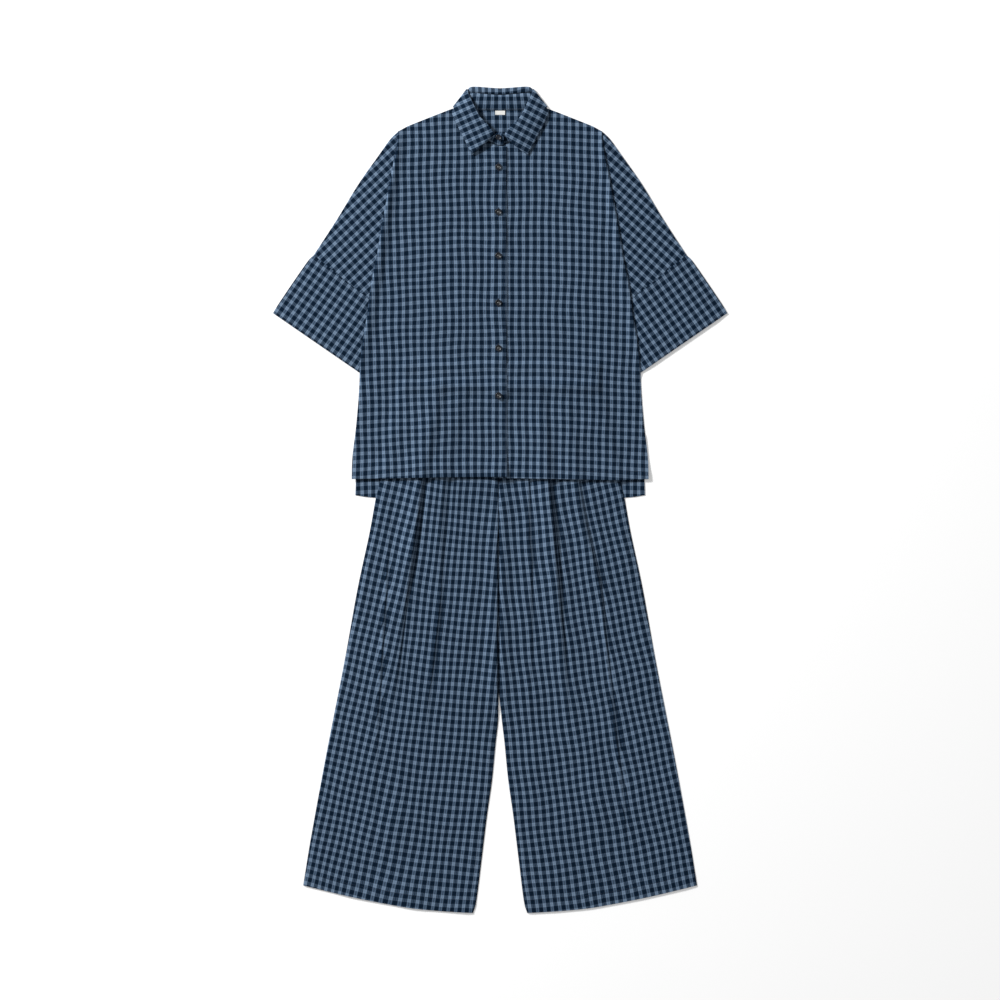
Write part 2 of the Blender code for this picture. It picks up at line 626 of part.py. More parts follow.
def collar():
    """The stand, closed round the neck with its right end on top, and the leaf that turns over it."""
    right = collar_sections(-1)
    left = collar_sections(1)
    order = right + list(reversed(left[:-1]))
    leaf = sheet("collar_leaf", [leaf_points(part) for part in order], COLLAR_WALL, offset=0.0)
    stand_rows = [end_points(entry, -1, STAND_OVER_Z) for entry in STAND_END]
    stand_rows += [stand_points(part) for part in order]
    stand_rows += [end_points(entry, 1, STAND_UNDER_Z) for entry in reversed(STAND_END)]
    stand = sheet("collar_stand", stand_rows, COLLAR_WALL, offset=0.0)
    return stand, leaf


def button(name, x, y, radius, below):
    """A turned button with a raised rim, resting on the cloth below it."""
    trees = surface_under(below)
    top = max(height_at(trees, x + radius * math.cos(a), y + radius * math.sin(a)) or 0.0
              for a in (math.pi * step / 4 for step in range(8)))
    shape = bmesh.new()
    points = []
    for part, height in BUTTON_PROFILE:
        points.append(shape.verts.new((radius * part, 0.0, BUTTON_THICKNESS * height)))
    for before, after in zip(points, points[1:]):
        shape.edges.new((before, after))
    mesh = bpy.data.meshes.new(name)
    shape.to_mesh(mesh)
    shape.free()
    piece = link(bpy.data.objects.new(name, mesh), finish(name, BUTTON_COLOUR, BUTTON_ROUGHNESS))
    piece.location = (x, y, top + GAP)
    turn = piece.modifiers.new("turn", "SCREW")
    turn.axis = "Z"
    turn.angle = 2 * math.pi
    turn.steps = BUTTON_STEPS
    turn.render_steps = BUTTON_STEPS
    turn.use_merge_vertices = True
    turn.merge_threshold = BUTTON_WELD
    return piece


def neck_label(below):
    """The bare label inside the back neck."""
    bpy.ops.mesh.primitive_cube_add(size=1.0)
    piece = bpy.context.active_object
    for owner in list(piece.users_collection):
        owner.objects.unlink(piece)
    piece.name = "label"
    piece.data.name = "label"
    link(piece, finish("label", LABEL_COLOUR, LABEL_ROUGHNESS))
    top = height_at(surface_under(below), 0.0, LABEL_Y)
    piece.data.transform(Matrix.Diagonal((*LABEL_SIZE, 1.0)))
    piece.location = (0.0, LABEL_Y, top + GAP + LABEL_SIZE[2] / 2)
    return piece


clear_scene()
collection = bpy.data.collections.new("blouse and trousers set")
bpy.context.scene.collection.children.link(collection)

back = blouse_back()
arms = sleeves(-1, "right") + sleeves(1, "left")
band = waistband()
leg_backs = [trouser_back(-1, "right", [back]), trouser_back(1, "left", [back])]
leg_fronts = [trouser_front(-1, "right", RIGHT_LEG_FOLDS, [back] + leg_backs),
              trouser_front(1, "left", LEFT_LEG_FOLDS, [back] + leg_backs)]
under = [back, band] + arms + leg_backs + leg_fronts
left_front = blouse_front(1, "left", LEFT_FRONT_HEM, under)
right_front = blouse_front(-1, "right", RIGHT_FRONT_HEM, under + [left_front])
neck_stand, neck_leaf = collar()
button("button_collar", COLLAR_BUTTON[0], COLLAR_BUTTON[1], COLLAR_BUTTON_RADIUS, [neck_stand])
for number, row_y in enumerate(BUTTON_ROWS, start=1):
    button("button_%d" % number, BUTTON_X, row_y, BUTTON_RADIUS, [right_front])
neck_label([back])
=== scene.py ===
"""Looks of the blouse and trousers set: thin gingham shells laid on each other, stitches, buttons, label.

Metres, +Z up, the same frame as the solids. Left and right are the wearer's, so the right side is at -X.
Every cloth piece is a fine grid. Heights are kept on one raster of the pile: each piece is laid on
what is below it, and then adds itself. Cloth coordinates are counted in checks.
"""
import math

import bmesh
import bpy
import numpy as np
from mathutils import Matrix, Vector
from mathutils.bvhtree import BVHTree


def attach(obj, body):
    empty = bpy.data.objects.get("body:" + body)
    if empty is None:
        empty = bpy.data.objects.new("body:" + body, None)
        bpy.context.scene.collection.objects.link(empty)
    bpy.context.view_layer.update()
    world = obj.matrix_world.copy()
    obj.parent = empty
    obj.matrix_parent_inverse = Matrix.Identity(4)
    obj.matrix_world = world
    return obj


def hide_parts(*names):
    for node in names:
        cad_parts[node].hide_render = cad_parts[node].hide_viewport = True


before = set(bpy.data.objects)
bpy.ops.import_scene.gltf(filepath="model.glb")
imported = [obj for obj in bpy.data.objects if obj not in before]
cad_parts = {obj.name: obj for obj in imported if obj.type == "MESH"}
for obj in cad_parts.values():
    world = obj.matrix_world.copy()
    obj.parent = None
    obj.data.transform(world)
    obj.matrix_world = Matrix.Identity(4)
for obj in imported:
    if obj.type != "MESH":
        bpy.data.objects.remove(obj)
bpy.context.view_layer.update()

# Walls, gaps and spacing of the grids
CLOTH = 0.0008
COLLAR_WALL = 0.001
GAP = 0.0003
STEP = 0.004
TUBE_HEIGHT = 0.0025
CELL = 0.0015
PILE_STEPS = 5
RASTER_LOW = (-0.436, -0.79)
RASTER_SIZE = (582, 1056)

# Checks of the cloth
PITCH = 0.0143
ROW_PITCH = 0.01453
ROW_TILT = 3.5
ROW_BEND = (0.075, 0.012)

# Pitch of the body's columns. Columns: y, pitch
BODY_PITCHES = (
    (-0.01, 0.01364), (0.11, 0.01369), (0.24, 0.01391), (0.45, 0.01412), (0.6, 0.01433), (0.74, 0.0144),
)

# Where a column and a row of the body's checks meet
BACK_CHECKS_AT = (0.001, 0.17)
FRONT_CHECKS_AT = {-1: (0.001, 0.17), 1: (0.016, 0.1695)}

SLEEVE_CHECKS_AT = (0.3, 0.49)
BAND_CHECKS_AT = (0.42, 0.355)
SLEEVE_TURNS = {-1: (43.0, -49.5), 1: (-41.5, 51.5)}
BAND_TURNS = {-1: (55.5, -35.2), 1: (-55.8, 35.8)}

# Outlines of one half. Columns: distance from the centre line, y
SHOULDER = ((0.1912, 0.6904), (0.1741, 0.7001), (0.1345, 0.7159), (0.0893, 0.7335))
SLEEVE_TOP = (
    (0.1912, 0.6904), (0.2056, 0.6765), (0.2266, 0.6474), (0.2662, 0.591), (0.3055, 0.5265),
    (0.3494, 0.4588),
)
BAND_TOP = ((0.3494, 0.4588), (0.3635, 0.4436), (0.4109, 0.3744), (0.4261, 0.3499))
BAND_SEAM_INNER = (0.2468, 0.369)
SLEEVE_WAY = (0.55, -0.83)
SLEEVE_ROOM = 0.0012
SLEEVE_LOW_Y = 0.225
SLEEVE_HEM_INNER = (0.2639, 0.2362)
ARMHOLE = (
    (0.1912, 0.6904), (0.1923, 0.6718), (0.1988, 0.6354), (0.2065, 0.5972), (0.2142, 0.5531),
    (0.2232, 0.5053), (0.2305, 0.4575), (0.2365, 0.4307), (0.2444, 0.3864),
)
SIDE = (
    (0.2444, 0.3864), (0.2502, 0.3396), (0.2572, 0.2996), (0.2618, 0.2616), (0.2637, 0.2151),
    (0.2658, 0.1813), (0.269, 0.1442), (0.2708, 0.1269),
)
FRONT_VENT = ((0.2708, 0.1269), (0.2744, 0.1026), (0.2774, 0.0739), (0.2782, 0.0388))
BACK_VENT = ((0.2703, 0.1269), (0.2708, 0.0369), (0.2716, 0.0084))
BACK_HEM = ((0.2716, 0.0084), (0.2328, 0.0036), (0.1128, -0.0006), (0.0, -0.0021))
BACK_NECK = ((0.0893, 0.7335), (0.0815, 0.7322), (0.06, 0.732), (0.0, 0.732))
FRONT_NECK = (
    (0.0893, 0.7335), (0.079, 0.7251), (0.0678, 0.7129), (0.0565, 0.6988), (0.0415, 0.6829),
    (0.0247, 0.6707), (0.0022, 0.6628), (-0.0119, 0.6624),
)
RIGHT_FRONT_HEM = ((0.2782, 0.0388), (0.2253, 0.0396), (0.1128, 0.0418), (0.0, 0.0428), (-0.0119, 0.0428))
LEFT_FRONT_HEM = ((0.2782, 0.0388), (0.2191, 0.0364), (0.0953, 0.0388), (0.0119, 0.0405), (-0.0119, 0.041))
TROUSER_SIDE = (
    (0.1822, 0.2169), (0.2047, 0.1307), (0.2247, 0.0354), (0.2333, -0.0009), (0.2448, -0.0641),
    (0.2671, -0.1684), (0.2922, -0.3073), (0.3258, -0.4789), (0.355, -0.6381), (0.3687, -0.7234),
)
TROUSER_HEM = (
    (0.3687, -0.7234), (0.3187, -0.7359), (0.2684, -0.7474), (0.2183, -0.7573), (0.1681, -0.7661),
    (0.1178, -0.7712), (0.0676, -0.7744), (0.0513, -0.7749),
)
TROUSER_INNER = (
    (0.0003, 0.2169), (0.0004, -0.0381), (0.0012, -0.3381), (0.003, -0.4037), (0.0087, -0.4562),
    (0.0158, -0.5274), (0.0248, -0.5906), (0.0353, -0.6756), (0.0447, -0.7506), (0.0513, -0.7749),
)

# Sides tucked under the fronts, waist, placket and edges that stand up where they lie on other cloth
VENT_TOP = 0.1269
TUCK_LOW = 0.003
TUCK_RISE = 0.008
WAIST_Y = 0.2169
WAISTBAND_DEPTH = 0.035
WAISTBAND_HEIGHT = 0.0028
WAIST_HALF = 0.1822
PLACKET_EDGE = 0.0119
PLACKET_RELIEF = 0.0005
PLACKET_ENDS = (0.655, 0.046)
PLACKET_STITCHES = (0.0275, 0.0022)
HEM_STAND = 0.0034
ARMHOLE_STAND = 0.0026
LEG_EDGE = 0.004
SEAM_EDGE = 0.0035
FREE_EDGE = (0.0012, 0.0003)

# Uneven relief and uneven drift of the checks
WAVE_COUNT = 14
WAVE_LENGTHS = (0.035, 0.12)
BACK_WAVES = (11, 0.00025)
LEG_WAVES_SEED = 31
LEG_WAVES = 0.0004
FRONT_WAVES_SEED = 57
FRONT_WAVES = 0.0003
DRIFT_COUNT = 6
DRIFT_LENGTHS = (0.06, 0.22)
DRIFT_TURN = 6.28
DRIFT = 0.07

# Turned hems and vents
HEM_RELIEF = 0.00045
HEM_GROOVE = 0.00018
VENT_FADE_Y = 0.127
BACK_HEM_WIDTH = 0.02
FRONT_HEM_WIDTH = 0.016
LEG_HEM_WIDTH = 0.025
VENT_WIDTH = 0.009
VENT_RELIEF = 0.0003

# Folds of the front legs. Columns: y, x of the dark line, rise of the crest beside it
RIGHT_LEG_FOLDS = (
    ((0.2169, -0.15, 0.0), (0.0369, -0.2, 0.0005), (-0.1468, -0.2103, 0.0018), (-0.2799, -0.2197, 0.003),
     (-0.3756, -0.2272, 0.0034), (-0.4731, -0.229, 0.0026), (-0.5912, -0.2347, 0.001),
     (-0.76, -0.243, 0.0)),
    ((0.2169, -0.108, 0.0015), (0.0369, -0.1428, 0.004), (-0.0418, -0.1522, 0.005),
     (-0.1131, -0.1619, 0.0055), (-0.1787, -0.1728, 0.005), (-0.2387, -0.1803, 0.0042),
     (-0.3306, -0.1897, 0.0024), (-0.39, -0.199, 0.0008), (-0.77, -0.214, 0.0)),
    ((0.2169, -0.062, 0.001), (0.0351, -0.0997, 0.0024), (-0.0774, -0.1053, 0.0028),
     (-0.1881, -0.109, 0.0026), (-0.2912, -0.121, 0.0024), (-0.4131, -0.1353, 0.0016),
     (-0.49, -0.142, 0.0006), (-0.774, -0.118, 0.0)),
)
LEFT_LEG_FOLDS = (
    ((0.2169, 0.042, 0.001), (0.0369, 0.0556, 0.0028), (-0.0756, 0.0575, 0.0036),
     (-0.1131, 0.0616, 0.0036), (-0.1768, 0.0597, 0.0034), (-0.2631, 0.0616, 0.0026),
     (-0.3718, 0.0578, 0.001), (-0.774, 0.09, 0.0)),
    ((0.2169, 0.08, 0.0015), (0.0369, 0.0948, 0.0036), (-0.0531, 0.1042, 0.0048),
     (-0.1674, 0.1122, 0.0052), (-0.2631, 0.1203, 0.0042), (-0.3718, 0.1291, 0.0018),
     (-0.43, 0.134, 0.0004), (-0.769, 0.145, 0.0)),
    ((0.2169, 0.125, 0.001), (0.0332, 0.1492, 0.0026), (-0.0531, 0.1647, 0.0038),
     (-0.1449, 0.1872, 0.0044), (-0.2331, 0.1977, 0.0038), (-0.3287, 0.2075, 0.003),
     (-0.4506, 0.2225, 0.0018), (-0.5968, 0.235, 0.0006), (-0.755, 0.245, 0.0)),
)

# Shapes of those folds. Columns: length of the climb, width of the drop and share of the rise near the
# blouse, and both again further down, where a fold runs out into a pressed line
RIGHT_LEG_SHAPES = (
    (0.028, 0.006, 0.5, 0.0048, 0.4), (0.026, 0.0075, 1.25, 0.0055, 0.55), (0.03, 0.014, 1.0, 0.005, 0.45),
)
LEFT_LEG_SHAPES = (
    (0.016, 0.005, 0.6, 0.005, 0.5), (0.024, 0.0085, 1.35, 0.0075, 0.85), (0.024, 0.011, 1.05, 0.0048, 0.4),
)
SHAPE_CHANGE = (-0.06, 0.16)
FOLD_RISE = 1.55
FOLD_BASE = 0.0012
SHARP_DROP = 0.72
SLOW_DROP = 0.28
TROUGH = 0.24

# Checks of the front legs, region by region from the outer edge to the inner one. Columns: lean of the
# columns at the waist and at the hem and tilt of the rows, in degrees, fold at the inner border, and
# half width of the change there
LEG_PITCH = 0.0134
LEG_ROW_PITCH = 0.01535
RIGHT_LEG_CHECKS = (
    (13.0, 11.9, 15.2, RIGHT_LEG_FOLDS[1], 0.002), (6.6, 8.2, 8.0, RIGHT_LEG_FOLDS[2], 0.04),
    (4.7, 6.6, 4.0, None, None),
)
LEFT_LEG_CHECKS = (
    (-12.4, -11.2, -13.8, LEFT_LEG_FOLDS[2], 0.003), (-8.8, -8.6, -10.6, LEFT_LEG_FOLDS[1], 0.002),
    (-5.6, -7.4, -7.2, LEFT_LEG_FOLDS[0], 0.002), (-5.2, -6.6, -4.4, None, None),
)
LEG_MEET_Y = -0.42
LEG_OUTER_X = 0.3
LEG_LENGTH = 0.95
LEG_TOP_Y = 0.2

# How the change between regions widens downward. Columns: y where it starts, reach, added half width
BORDER_WIDENING = ((-0.16, 0.4, 0.045), (-0.45, 0.25, 0.035))

# Soft creases and pressed lines of the legs. Columns: x and y of one end, x and y of the other, half
# width, height
RIGHT_LEG_CREASES = (
    (-0.2128, -0.113, -0.2292, -0.406, 0.0024, 0.0018), (-0.1125, -0.17, -0.1346, -0.37, 0.0024, 0.002),
    (-0.29, -0.34, -0.315, -0.56, 0.01, -0.0012), (-0.18, -0.42, -0.205, -0.68, 0.02, 0.0016),
    (-0.09, -0.45, -0.1, -0.72, 0.018, -0.0012), (-0.055, -0.06, -0.06, -0.33, 0.012, 0.0009),
    (-0.25, -0.06, -0.262, -0.2, 0.012, 0.001),
)
LEFT_LEG_CREASES = (
    (0.1845, -0.15, 0.2072, -0.37, 0.0024, 0.0018), (0.2066, -0.36, 0.2341, -0.61, 0.0024, 0.002),
    (0.036, -0.1, 0.044, -0.33, 0.01, 0.0008), (0.285, -0.33, 0.312, -0.56, 0.011, -0.0012),
    (0.165, -0.43, 0.19, -0.69, 0.02, 0.0016), (0.095, -0.43, 0.11, -0.72, 0.018, -0.0012),
    (0.222, -0.03, 0.246, -0.19, 0.011, 0.001), (0.128, -0.3, 0.146, -0.48, 0.009, 0.001),
)

# Pressed lines where the cloth is drawn in. Columns: y, x of the line, share of a check drawn in
RIGHT_LEG_PRESSED = (
    ((-0.08, -0.207, 0.0), (-0.15, -0.2105, 0.42), (-0.27, -0.2193, 0.5), (-0.4, -0.226, 0.48),
     (-0.47, -0.229, 0.0)),
    ((-0.155, -0.1065, 0.0), (-0.2, -0.111, 0.5), (-0.304, -0.1222, 0.48), (-0.365, -0.1306, 0.0)),
)
LEFT_LEG_PRESSED = (
    ((-0.1, 0.183, 0.0), (-0.15, 0.1874, 0.4), (-0.255, 0.2, 0.48), (-0.38, 0.2125, 0.5),
     (-0.503, 0.2275, 0.5), (-0.6, 0.2371, 0.35), (-0.66, 0.2405, 0.0)),
)
PRESSED_WIDTH = 0.0032

# The narrow dark opening where the legs lie side by side
SLIT_X = -0.003
SLIT_HALF = 0.0015
SLIT_TOP = -0.028
BACKS_LAP = 0.002
LEGS_PART = (-0.43, 0.09)
SLIT_STAND = {-1: 0.0036, 1: 0.0018}
SLIT_NEAR = 0.05
BACK_INSET = 0.0016

# Collar, one half from its front edge to the middle of the back. Columns: roll line x, y; outer edge
# of the leaf x, y; lower edge of the stand x, y; depth of the leaf on the stand's side
COLLAR_FRONT = (
    (0.0119, 0.6902, 0.0522, 0.6459, 0.019, 0.672, 0.0022),
    (0.0239, 0.7033, 0.065, 0.6716, 0.037, 0.6845, 0.0024),
    (0.0382, 0.7179, 0.0762, 0.6932, 0.054, 0.701, 0.0026),
    (0.0511, 0.7429, 0.085, 0.711, 0.069, 0.719, 0.0034), (0.0598, 0.761, 0.09, 0.7255, 0.079, 0.73, 0.005),
)
FRONT_CORNERS = {-1: (0.0108, 0.6846), 1: (0.0095, 0.6868)}
FRONT_BULGES = {-1: 0.001, 1: 0.0048}
COLLAR_FOLD = (0.061, 0.7685, 0.0868, 0.735, 0.08, 0.739, 0.007)
COLLAR_BACK = (
    (0.056, 0.7732, 0.072, 0.735, 0.07, 0.7308, 0.0105),
    (0.044, 0.7741, 0.054, 0.7336, 0.052, 0.7303, 0.0118),
    (0.0228, 0.7725, 0.0265, 0.7333, 0.026, 0.7301, 0.012), (0.0, 0.7711, 0.0, 0.7332, 0.0, 0.73, 0.012),
)
STAND_END = (
    (-0.0066, 0.6785, -0.0058, 0.664), (-0.004, 0.685, -0.002, 0.6636), (0.004, 0.6882, 0.007, 0.665),
)
UNDER_END_RISE = 0.003
COLLAR_PITCH = 0.0015
STAND_BACK_Z = 0.0021
STAND_UNDER_Z = 0.0036
STAND_OVER_Z = 0.0053
LEAF_EDGE_Z = 0.0034
LEAF_DROPS = (1.0, 1.0, 1.0, 0.5, 0.1)
STAND_COVER = 0.1
FOLD_STEPS = 6
COLLAR_RISE = 0.0068
LEAF_EDGE_SHARE = 0.25
LEAF_PITCH = 0.014
LEAF_TURNS = {-1: (23.5, -66.0), 1: (-28.0, 63.5)}
LEAF_ROLL = 8
ROLL_COLUMNS = 11
ROLL_TOP = 6
BULGE_WAY = (0.72, 0.69)
STAND_END_RISE = 1.3
THIN_SHARE = 0.3
ROWS_A_SECTION = 5

# Buttons and label
BUTTON_X = -0.0033
BUTTON_ROWS = (0.624, 0.5396, 0.4577, 0.3692, 0.2844, 0.1952)
BUTTON_RADIUS = 0.006
BUTTON_THICKNESS = 0.0024
BUTTON_PROFILE = (
    (0.0, 0.55), (0.3, 0.55), (0.55, 0.56), (0.66, 0.62), (0.74, 0.86), (0.82, 0.98), (0.9, 1.0),
    (0.97, 0.9), (1.0, 0.68), (0.985, 0.4), (0.93, 0.12), (0.84, 0.0), (0.0, 0.0),
)
HOLE_AT = 0.2
HOLE_RADIUS = 0.115
COLLAR_BUTTON = (-0.0031, 0.6791)
COLLAR_BUTTON_RADIUS = 0.0052
THREAD_RADIUS = 0.00022
TUBE_TAPER = 0.45
STITCH = (0.0024, 0.001, THREAD_RADIUS)
LABEL_STITCH = (0.0014, 0.0006, 0.00013)
LABEL_SIZE = (0.0186, 0.0078, 0.0006)
LABEL_Y = 0.7255

# Camera, floor and light
LENS = 200.0
SENSOR = 36.0
VIEW_WIDTH = 1.875
FLOOR_REACH = 14.0
FLOOR_LOOK = (
    ("Base Color", (0.93, 0.93, 0.93, 1.0)), ("Specular IOR Level", 0.0),
    ("Emission Color", (1.0, 1.0, 1.0, 1.0)), ("Emission Strength", 0.25),
)
SKY_STRENGTH = 0.32
KEY_ENERGY = 560.0
KEY_SIZE = 1.5
KEY_PLACE = (-4.6, 3.65, 3.5)

# Soft creases, listed one by one. Columns: x and y of one end, x and y of the other, half width, height
RIGHT_FRONT_CREASES = (
    (-0.232, 0.36, -0.15, 0.3, 0.016, 0.0009), (-0.238, 0.3, -0.185, 0.18, 0.02, -0.0008),
    (-0.19, 0.64, -0.12, 0.56, 0.022, 0.0007), (-0.06, 0.64, -0.11, 0.48, 0.026, -0.0006),
    (-0.225, 0.44, -0.16, 0.42, 0.014, 0.0008), (-0.12, 0.26, -0.1, 0.09, 0.028, 0.0008),
    (-0.05, 0.33, -0.045, 0.12, 0.024, -0.0007), (-0.2, 0.15, -0.19, 0.05, 0.02, 0.0009),
)
LEFT_FRONT_CREASES = (
    (0.23, 0.37, 0.16, 0.33, 0.015, 0.0009), (0.238, 0.29, 0.195, 0.16, 0.022, -0.0008),
    (0.175, 0.65, 0.125, 0.54, 0.024, 0.0007), (0.07, 0.61, 0.105, 0.45, 0.026, -0.0006),
    (0.222, 0.45, 0.165, 0.445, 0.013, 0.0007), (0.13, 0.24, 0.11, 0.08, 0.026, 0.0008),
    (0.055, 0.3, 0.06, 0.09, 0.026, -0.0006), (0.215, 0.16, 0.205, 0.05, 0.018, 0.0008),
)
BACK_CREASES = (
    (-0.15, 0.6, -0.12, 0.38, 0.03, -0.0007), (0.14, 0.58, 0.11, 0.33, 0.028, -0.0007),
    (0.01, 0.5, -0.02, 0.25, 0.03, 0.0008), (-0.19, 0.22, -0.17, 0.03, 0.024, 0.0007),
    (0.18, 0.2, 0.19, 0.03, 0.024, 0.0007),
)


# Lines and patches

def listed(part):
    """One share or several, as an array."""
    return np.atleast_1d(np.asarray(part, float))


def mirrored(table, side):
    """Points of the half outlines on one side."""
    return np.array(table, float) * (side, 1)


def raised(points, heights):
    """Flat points with their heights."""
    return np.concatenate([points, np.broadcast_to(heights, points.shape[:-1])[..., None]], axis=-1)


def run_along(points):
    """The way run at each point of a line."""
    return np.concatenate([[0.0], np.cumsum(np.linalg.norm(np.diff(points, axis=0), axis=1))])


def unit(vectors):
    """Vectors brought to length 1."""
    return vectors / np.linalg.norm(vectors, axis=1)[:, None]


def bent(start, end, leave, arrive, step):
    """Places between two points, on a smooth curve with a direction at each end."""
    return (start * (1 + step * step * (2 * step - 3)) + end * (step * step * (3 - 2 * step))
            + leave * (step * (1 - step) ** 2) - arrive * (step * step * (1 - step)))


def line(table, side=1):
    """A smooth line through a table of half outline points, read by shares of its length."""
    points = mirrored(table, side)
    lengths = run_along(points)
    last = len(points) - 1

    def at(part):
        reach = np.clip(listed(part), 0.0, 1.0) * lengths[-1]
        index = np.clip(np.searchsorted(lengths, reach, side="left") - 1, 0, last - 1)
        step = ((reach - lengths[index]) / (lengths[index + 1] - lengths[index]))[:, None]
        start = points[index]
        end = points[index + 1]
        before = points[np.maximum(index - 1, 0)]
        after = points[np.minimum(index + 2, last)]
        leave = np.where((index == 0)[:, None], end - start, (end - before) * 0.5)
        arrive = np.where((index == last - 1)[:, None], end - start, (after - start) * 0.5)
        return bent(start, end, leave, arrive, step)
    return at


def joined(first, second, share):
    """Two lines as one, the first taking its share of the way."""
    def at(part):
        part = listed(part)
        low = first(np.minimum(part / share, 1.0))
        high = second(np.maximum((part - share) / (1 - share), 0.0))
        return np.where((part <= share)[:, None], low, high)
    return at


def straight(start, end):
    """The straight line between two points."""
    start = np.asarray(start, float)
    return lambda part: start + (end - start) * listed(part)[:, None]


def across(table):
    """A line read by its distance across, so that the grid's columns stay upright."""
    points = np.array(table, float)
    order = np.argsort(points[:, 0])

    def at(part):
        x = points[0, 0] + (points[-1, 0] - points[0, 0]) * listed(part)
        return np.stack([x, np.interp(x, points[order, 0], points[order, 1])], 1)
    return at


def patch(columns, rows, left, right, bottom, top):
    """Points spread between four edge lines, as rows from the bottom to the top."""
    u = columns[None, :, None]
    v = rows[:, None, None]
    sides = left(rows)[:, None] * (1 - u) + right(rows)[:, None] * u
    ends = bottom(columns)[None] * (1 - v) + top(columns)[None] * v
    low = bottom(0.0) * (1 - u) + bottom(1.0) * u
    high = top(0.0) * (1 - u) + top(1.0) * u
    return sides + ends - (low * (1 - v) + high * v)


def shares(length, step=STEP):
    """Shares of a length in even steps, closer at both ends, where an edge is rounded."""
    even = np.linspace(0.0, 1.0, max(2, int(math.ceil(length / step))) + 1)
    near = np.array([0.0006, 0.0014, 0.0026]) / length
    made = np.concatenate([even[even > near[-1]][:-1], near, 1 - near, [0.0, 1.0]])
    return np.unique(made.clip(0, 1).round(7))


def value(table, place, column):
    """A column of a table read at places along its first column."""
    rows = np.array(sorted(table), float)
    return np.interp(place, rows[:, 0], rows[:, column])


def soft(x, start, width):
    """0 up to the start, and then rising with slope 1, rounded over the width."""
    return width * np.logaddexp(0.0, (x - start) / width)


def smooth(x):
    """A soft step from 0 to 1."""
    x = np.clip(x, 0.0, 1.0)
    return x * x * (3 - 2 * x)


def tucked(path, side, gap):
    """A side line drawn in towards the middle, where it runs under the edge of the front."""
    def at(part):
        points = path(part).copy()
        y = points[:, 1]
        rise = np.clip((y - SLEEVE_HEM_INNER[1]) / (ARMHOLE[-1][1] - SLEEVE_HEM_INNER[1]), 0, 1)
        tuck = (TUCK_LOW + TUCK_RISE * rise) * np.clip((y - VENT_TOP) / 0.05, 0, 1)
        points[:, 0] -= side * (tuck + gap)
        return points
    return at


def body_side(vent, side, vent_share, low_share):
    """One side of the body from the hem up: vent, side seam and armhole."""
    low = joined(line(vent[::-1], side), line(SIDE[::-1], side), vent_share)
    return joined(low, line(ARMHOLE[::-1], side), low_share)


# The pile's heights

pile = np.zeros(RASTER_SIZE)


def cells(points):
    """Raster places of points, as fractions."""
    return [(points[..., k] - RASTER_LOW[k]) / CELL for k in (0, 1)]


def spread(field, reach):
    """Each cell takes the highest of its neighbours."""
    out = field.copy()
    for axis in (0, 1):
        base = out.copy()
        for shift in range(1, reach + 1):
            out = np.maximum(out, np.roll(base, shift, axis))
            out = np.maximum(out, np.roll(base, -shift, axis))
    return out


def blurred(field, rounds):
    """Soft version of a raster or a grid of heights."""
    for axis in (0, 1) * rounds:
        field = np.moveaxis(field, axis, 0)
        wide = np.concatenate([field[:1], field, field[-1:]])
        field = np.moveaxis((wide[:-2] + 2 * wide[1:-1] + wide[2:]) / 4, 0, axis)
    return field


def read(field, points):
    """Heights of a raster at points."""
    a, b = cells(points)
    i = np.clip(a.astype(int), 0, RASTER_SIZE[0] - 2)
    j = np.clip(b.astype(int), 0, RASTER_SIZE[1] - 2)
    p = np.clip(a - i, 0, 1)
    q = np.clip(b - j, 0, 1)
    return ((field[i, j] * (1 - p) + field[i + 1, j] * p) * (1 - q)
            + (field[i, j + 1] * (1 - p) + field[i + 1, j + 1] * p) * q)


def support(points, rounds=6, field=None):
    """Height of the cloth's underside where it lies softly on the pile, or on an earlier state of it."""
    field = pile if field is None else field
    lying = np.maximum(blurred(spread(field, 3), rounds), spread(field, 1))
    return read(lying, points) + GAP


def add_to_pile(points, heights):
    """Raise the pile by a grid of cloth tops."""
    here = slice(0, -1)
    beyond = slice(1, None)
    corners = ((here, here), (beyond, here), (here, beyond), (beyond, beyond))
    for a in np.arange(PILE_STEPS) / PILE_STEPS:
        for b in np.arange(PILE_STEPS) / PILE_STEPS:
            weights = ((1 - a) * (1 - b), a * (1 - b), (1 - a) * b, a * b)
            i, j = cells(sum(w * points[s] for w, s in zip(weights, corners)))
            z = sum(w * heights[s] for w, s in zip(weights, corners))
            np.maximum.at(pile, (np.rint(i).astype(int).ravel(), np.rint(j).astype(int).ravel()), z.ravel())


def creases(points, table):
    """Soft ridges and troughs along short straight lines, fading at both ends."""
    total = np.zeros(points.shape[:-1])
    for x0, y0, x1, y1, width, height in table:
        start = np.array([x0, y0])
        along = np.array([x1, y1]) - start
        length = np.linalg.norm(along)
        along = along / length
        rel = points - start
        run = rel @ along / length
        bend = 0.18 * width * np.sin(run * 7.0)
        off = rel @ np.array([-along[1], along[0]]) - bend
        fade = smooth((run + 0.15) / 0.4) * smooth((1.15 - run) / 0.5)
        total += height * np.exp(-(off / width) ** 2) * fade
    return total


def uneven(points, rng, count, lengths, least, turn=2 * math.pi):
    """A sum of slow waves that run in all directions."""
    total = np.zeros(points.shape[:-1])
    for _ in range(count):
        angle = rng.uniform(0, math.pi)
        length = rng.uniform(*lengths)
        phase = rng.uniform(0, turn)
        run = points[..., 0] * math.cos(angle) + points[..., 1] * math.sin(angle)
        total += np.sin(2 * math.pi * run / length + phase) * rng.uniform(least, 1.0)
    return total


def waves(points, seed, height):
    """Faint uneven relief of washed cotton."""
    return uneven(points, np.random.default_rng(seed), WAVE_COUNT, WAVE_LENGTHS, 0.3) * height / 3


# Materials

def links(tree, pairs):
    """Connect sockets."""
    for start, end in pairs:
        tree.links.new(start, end)


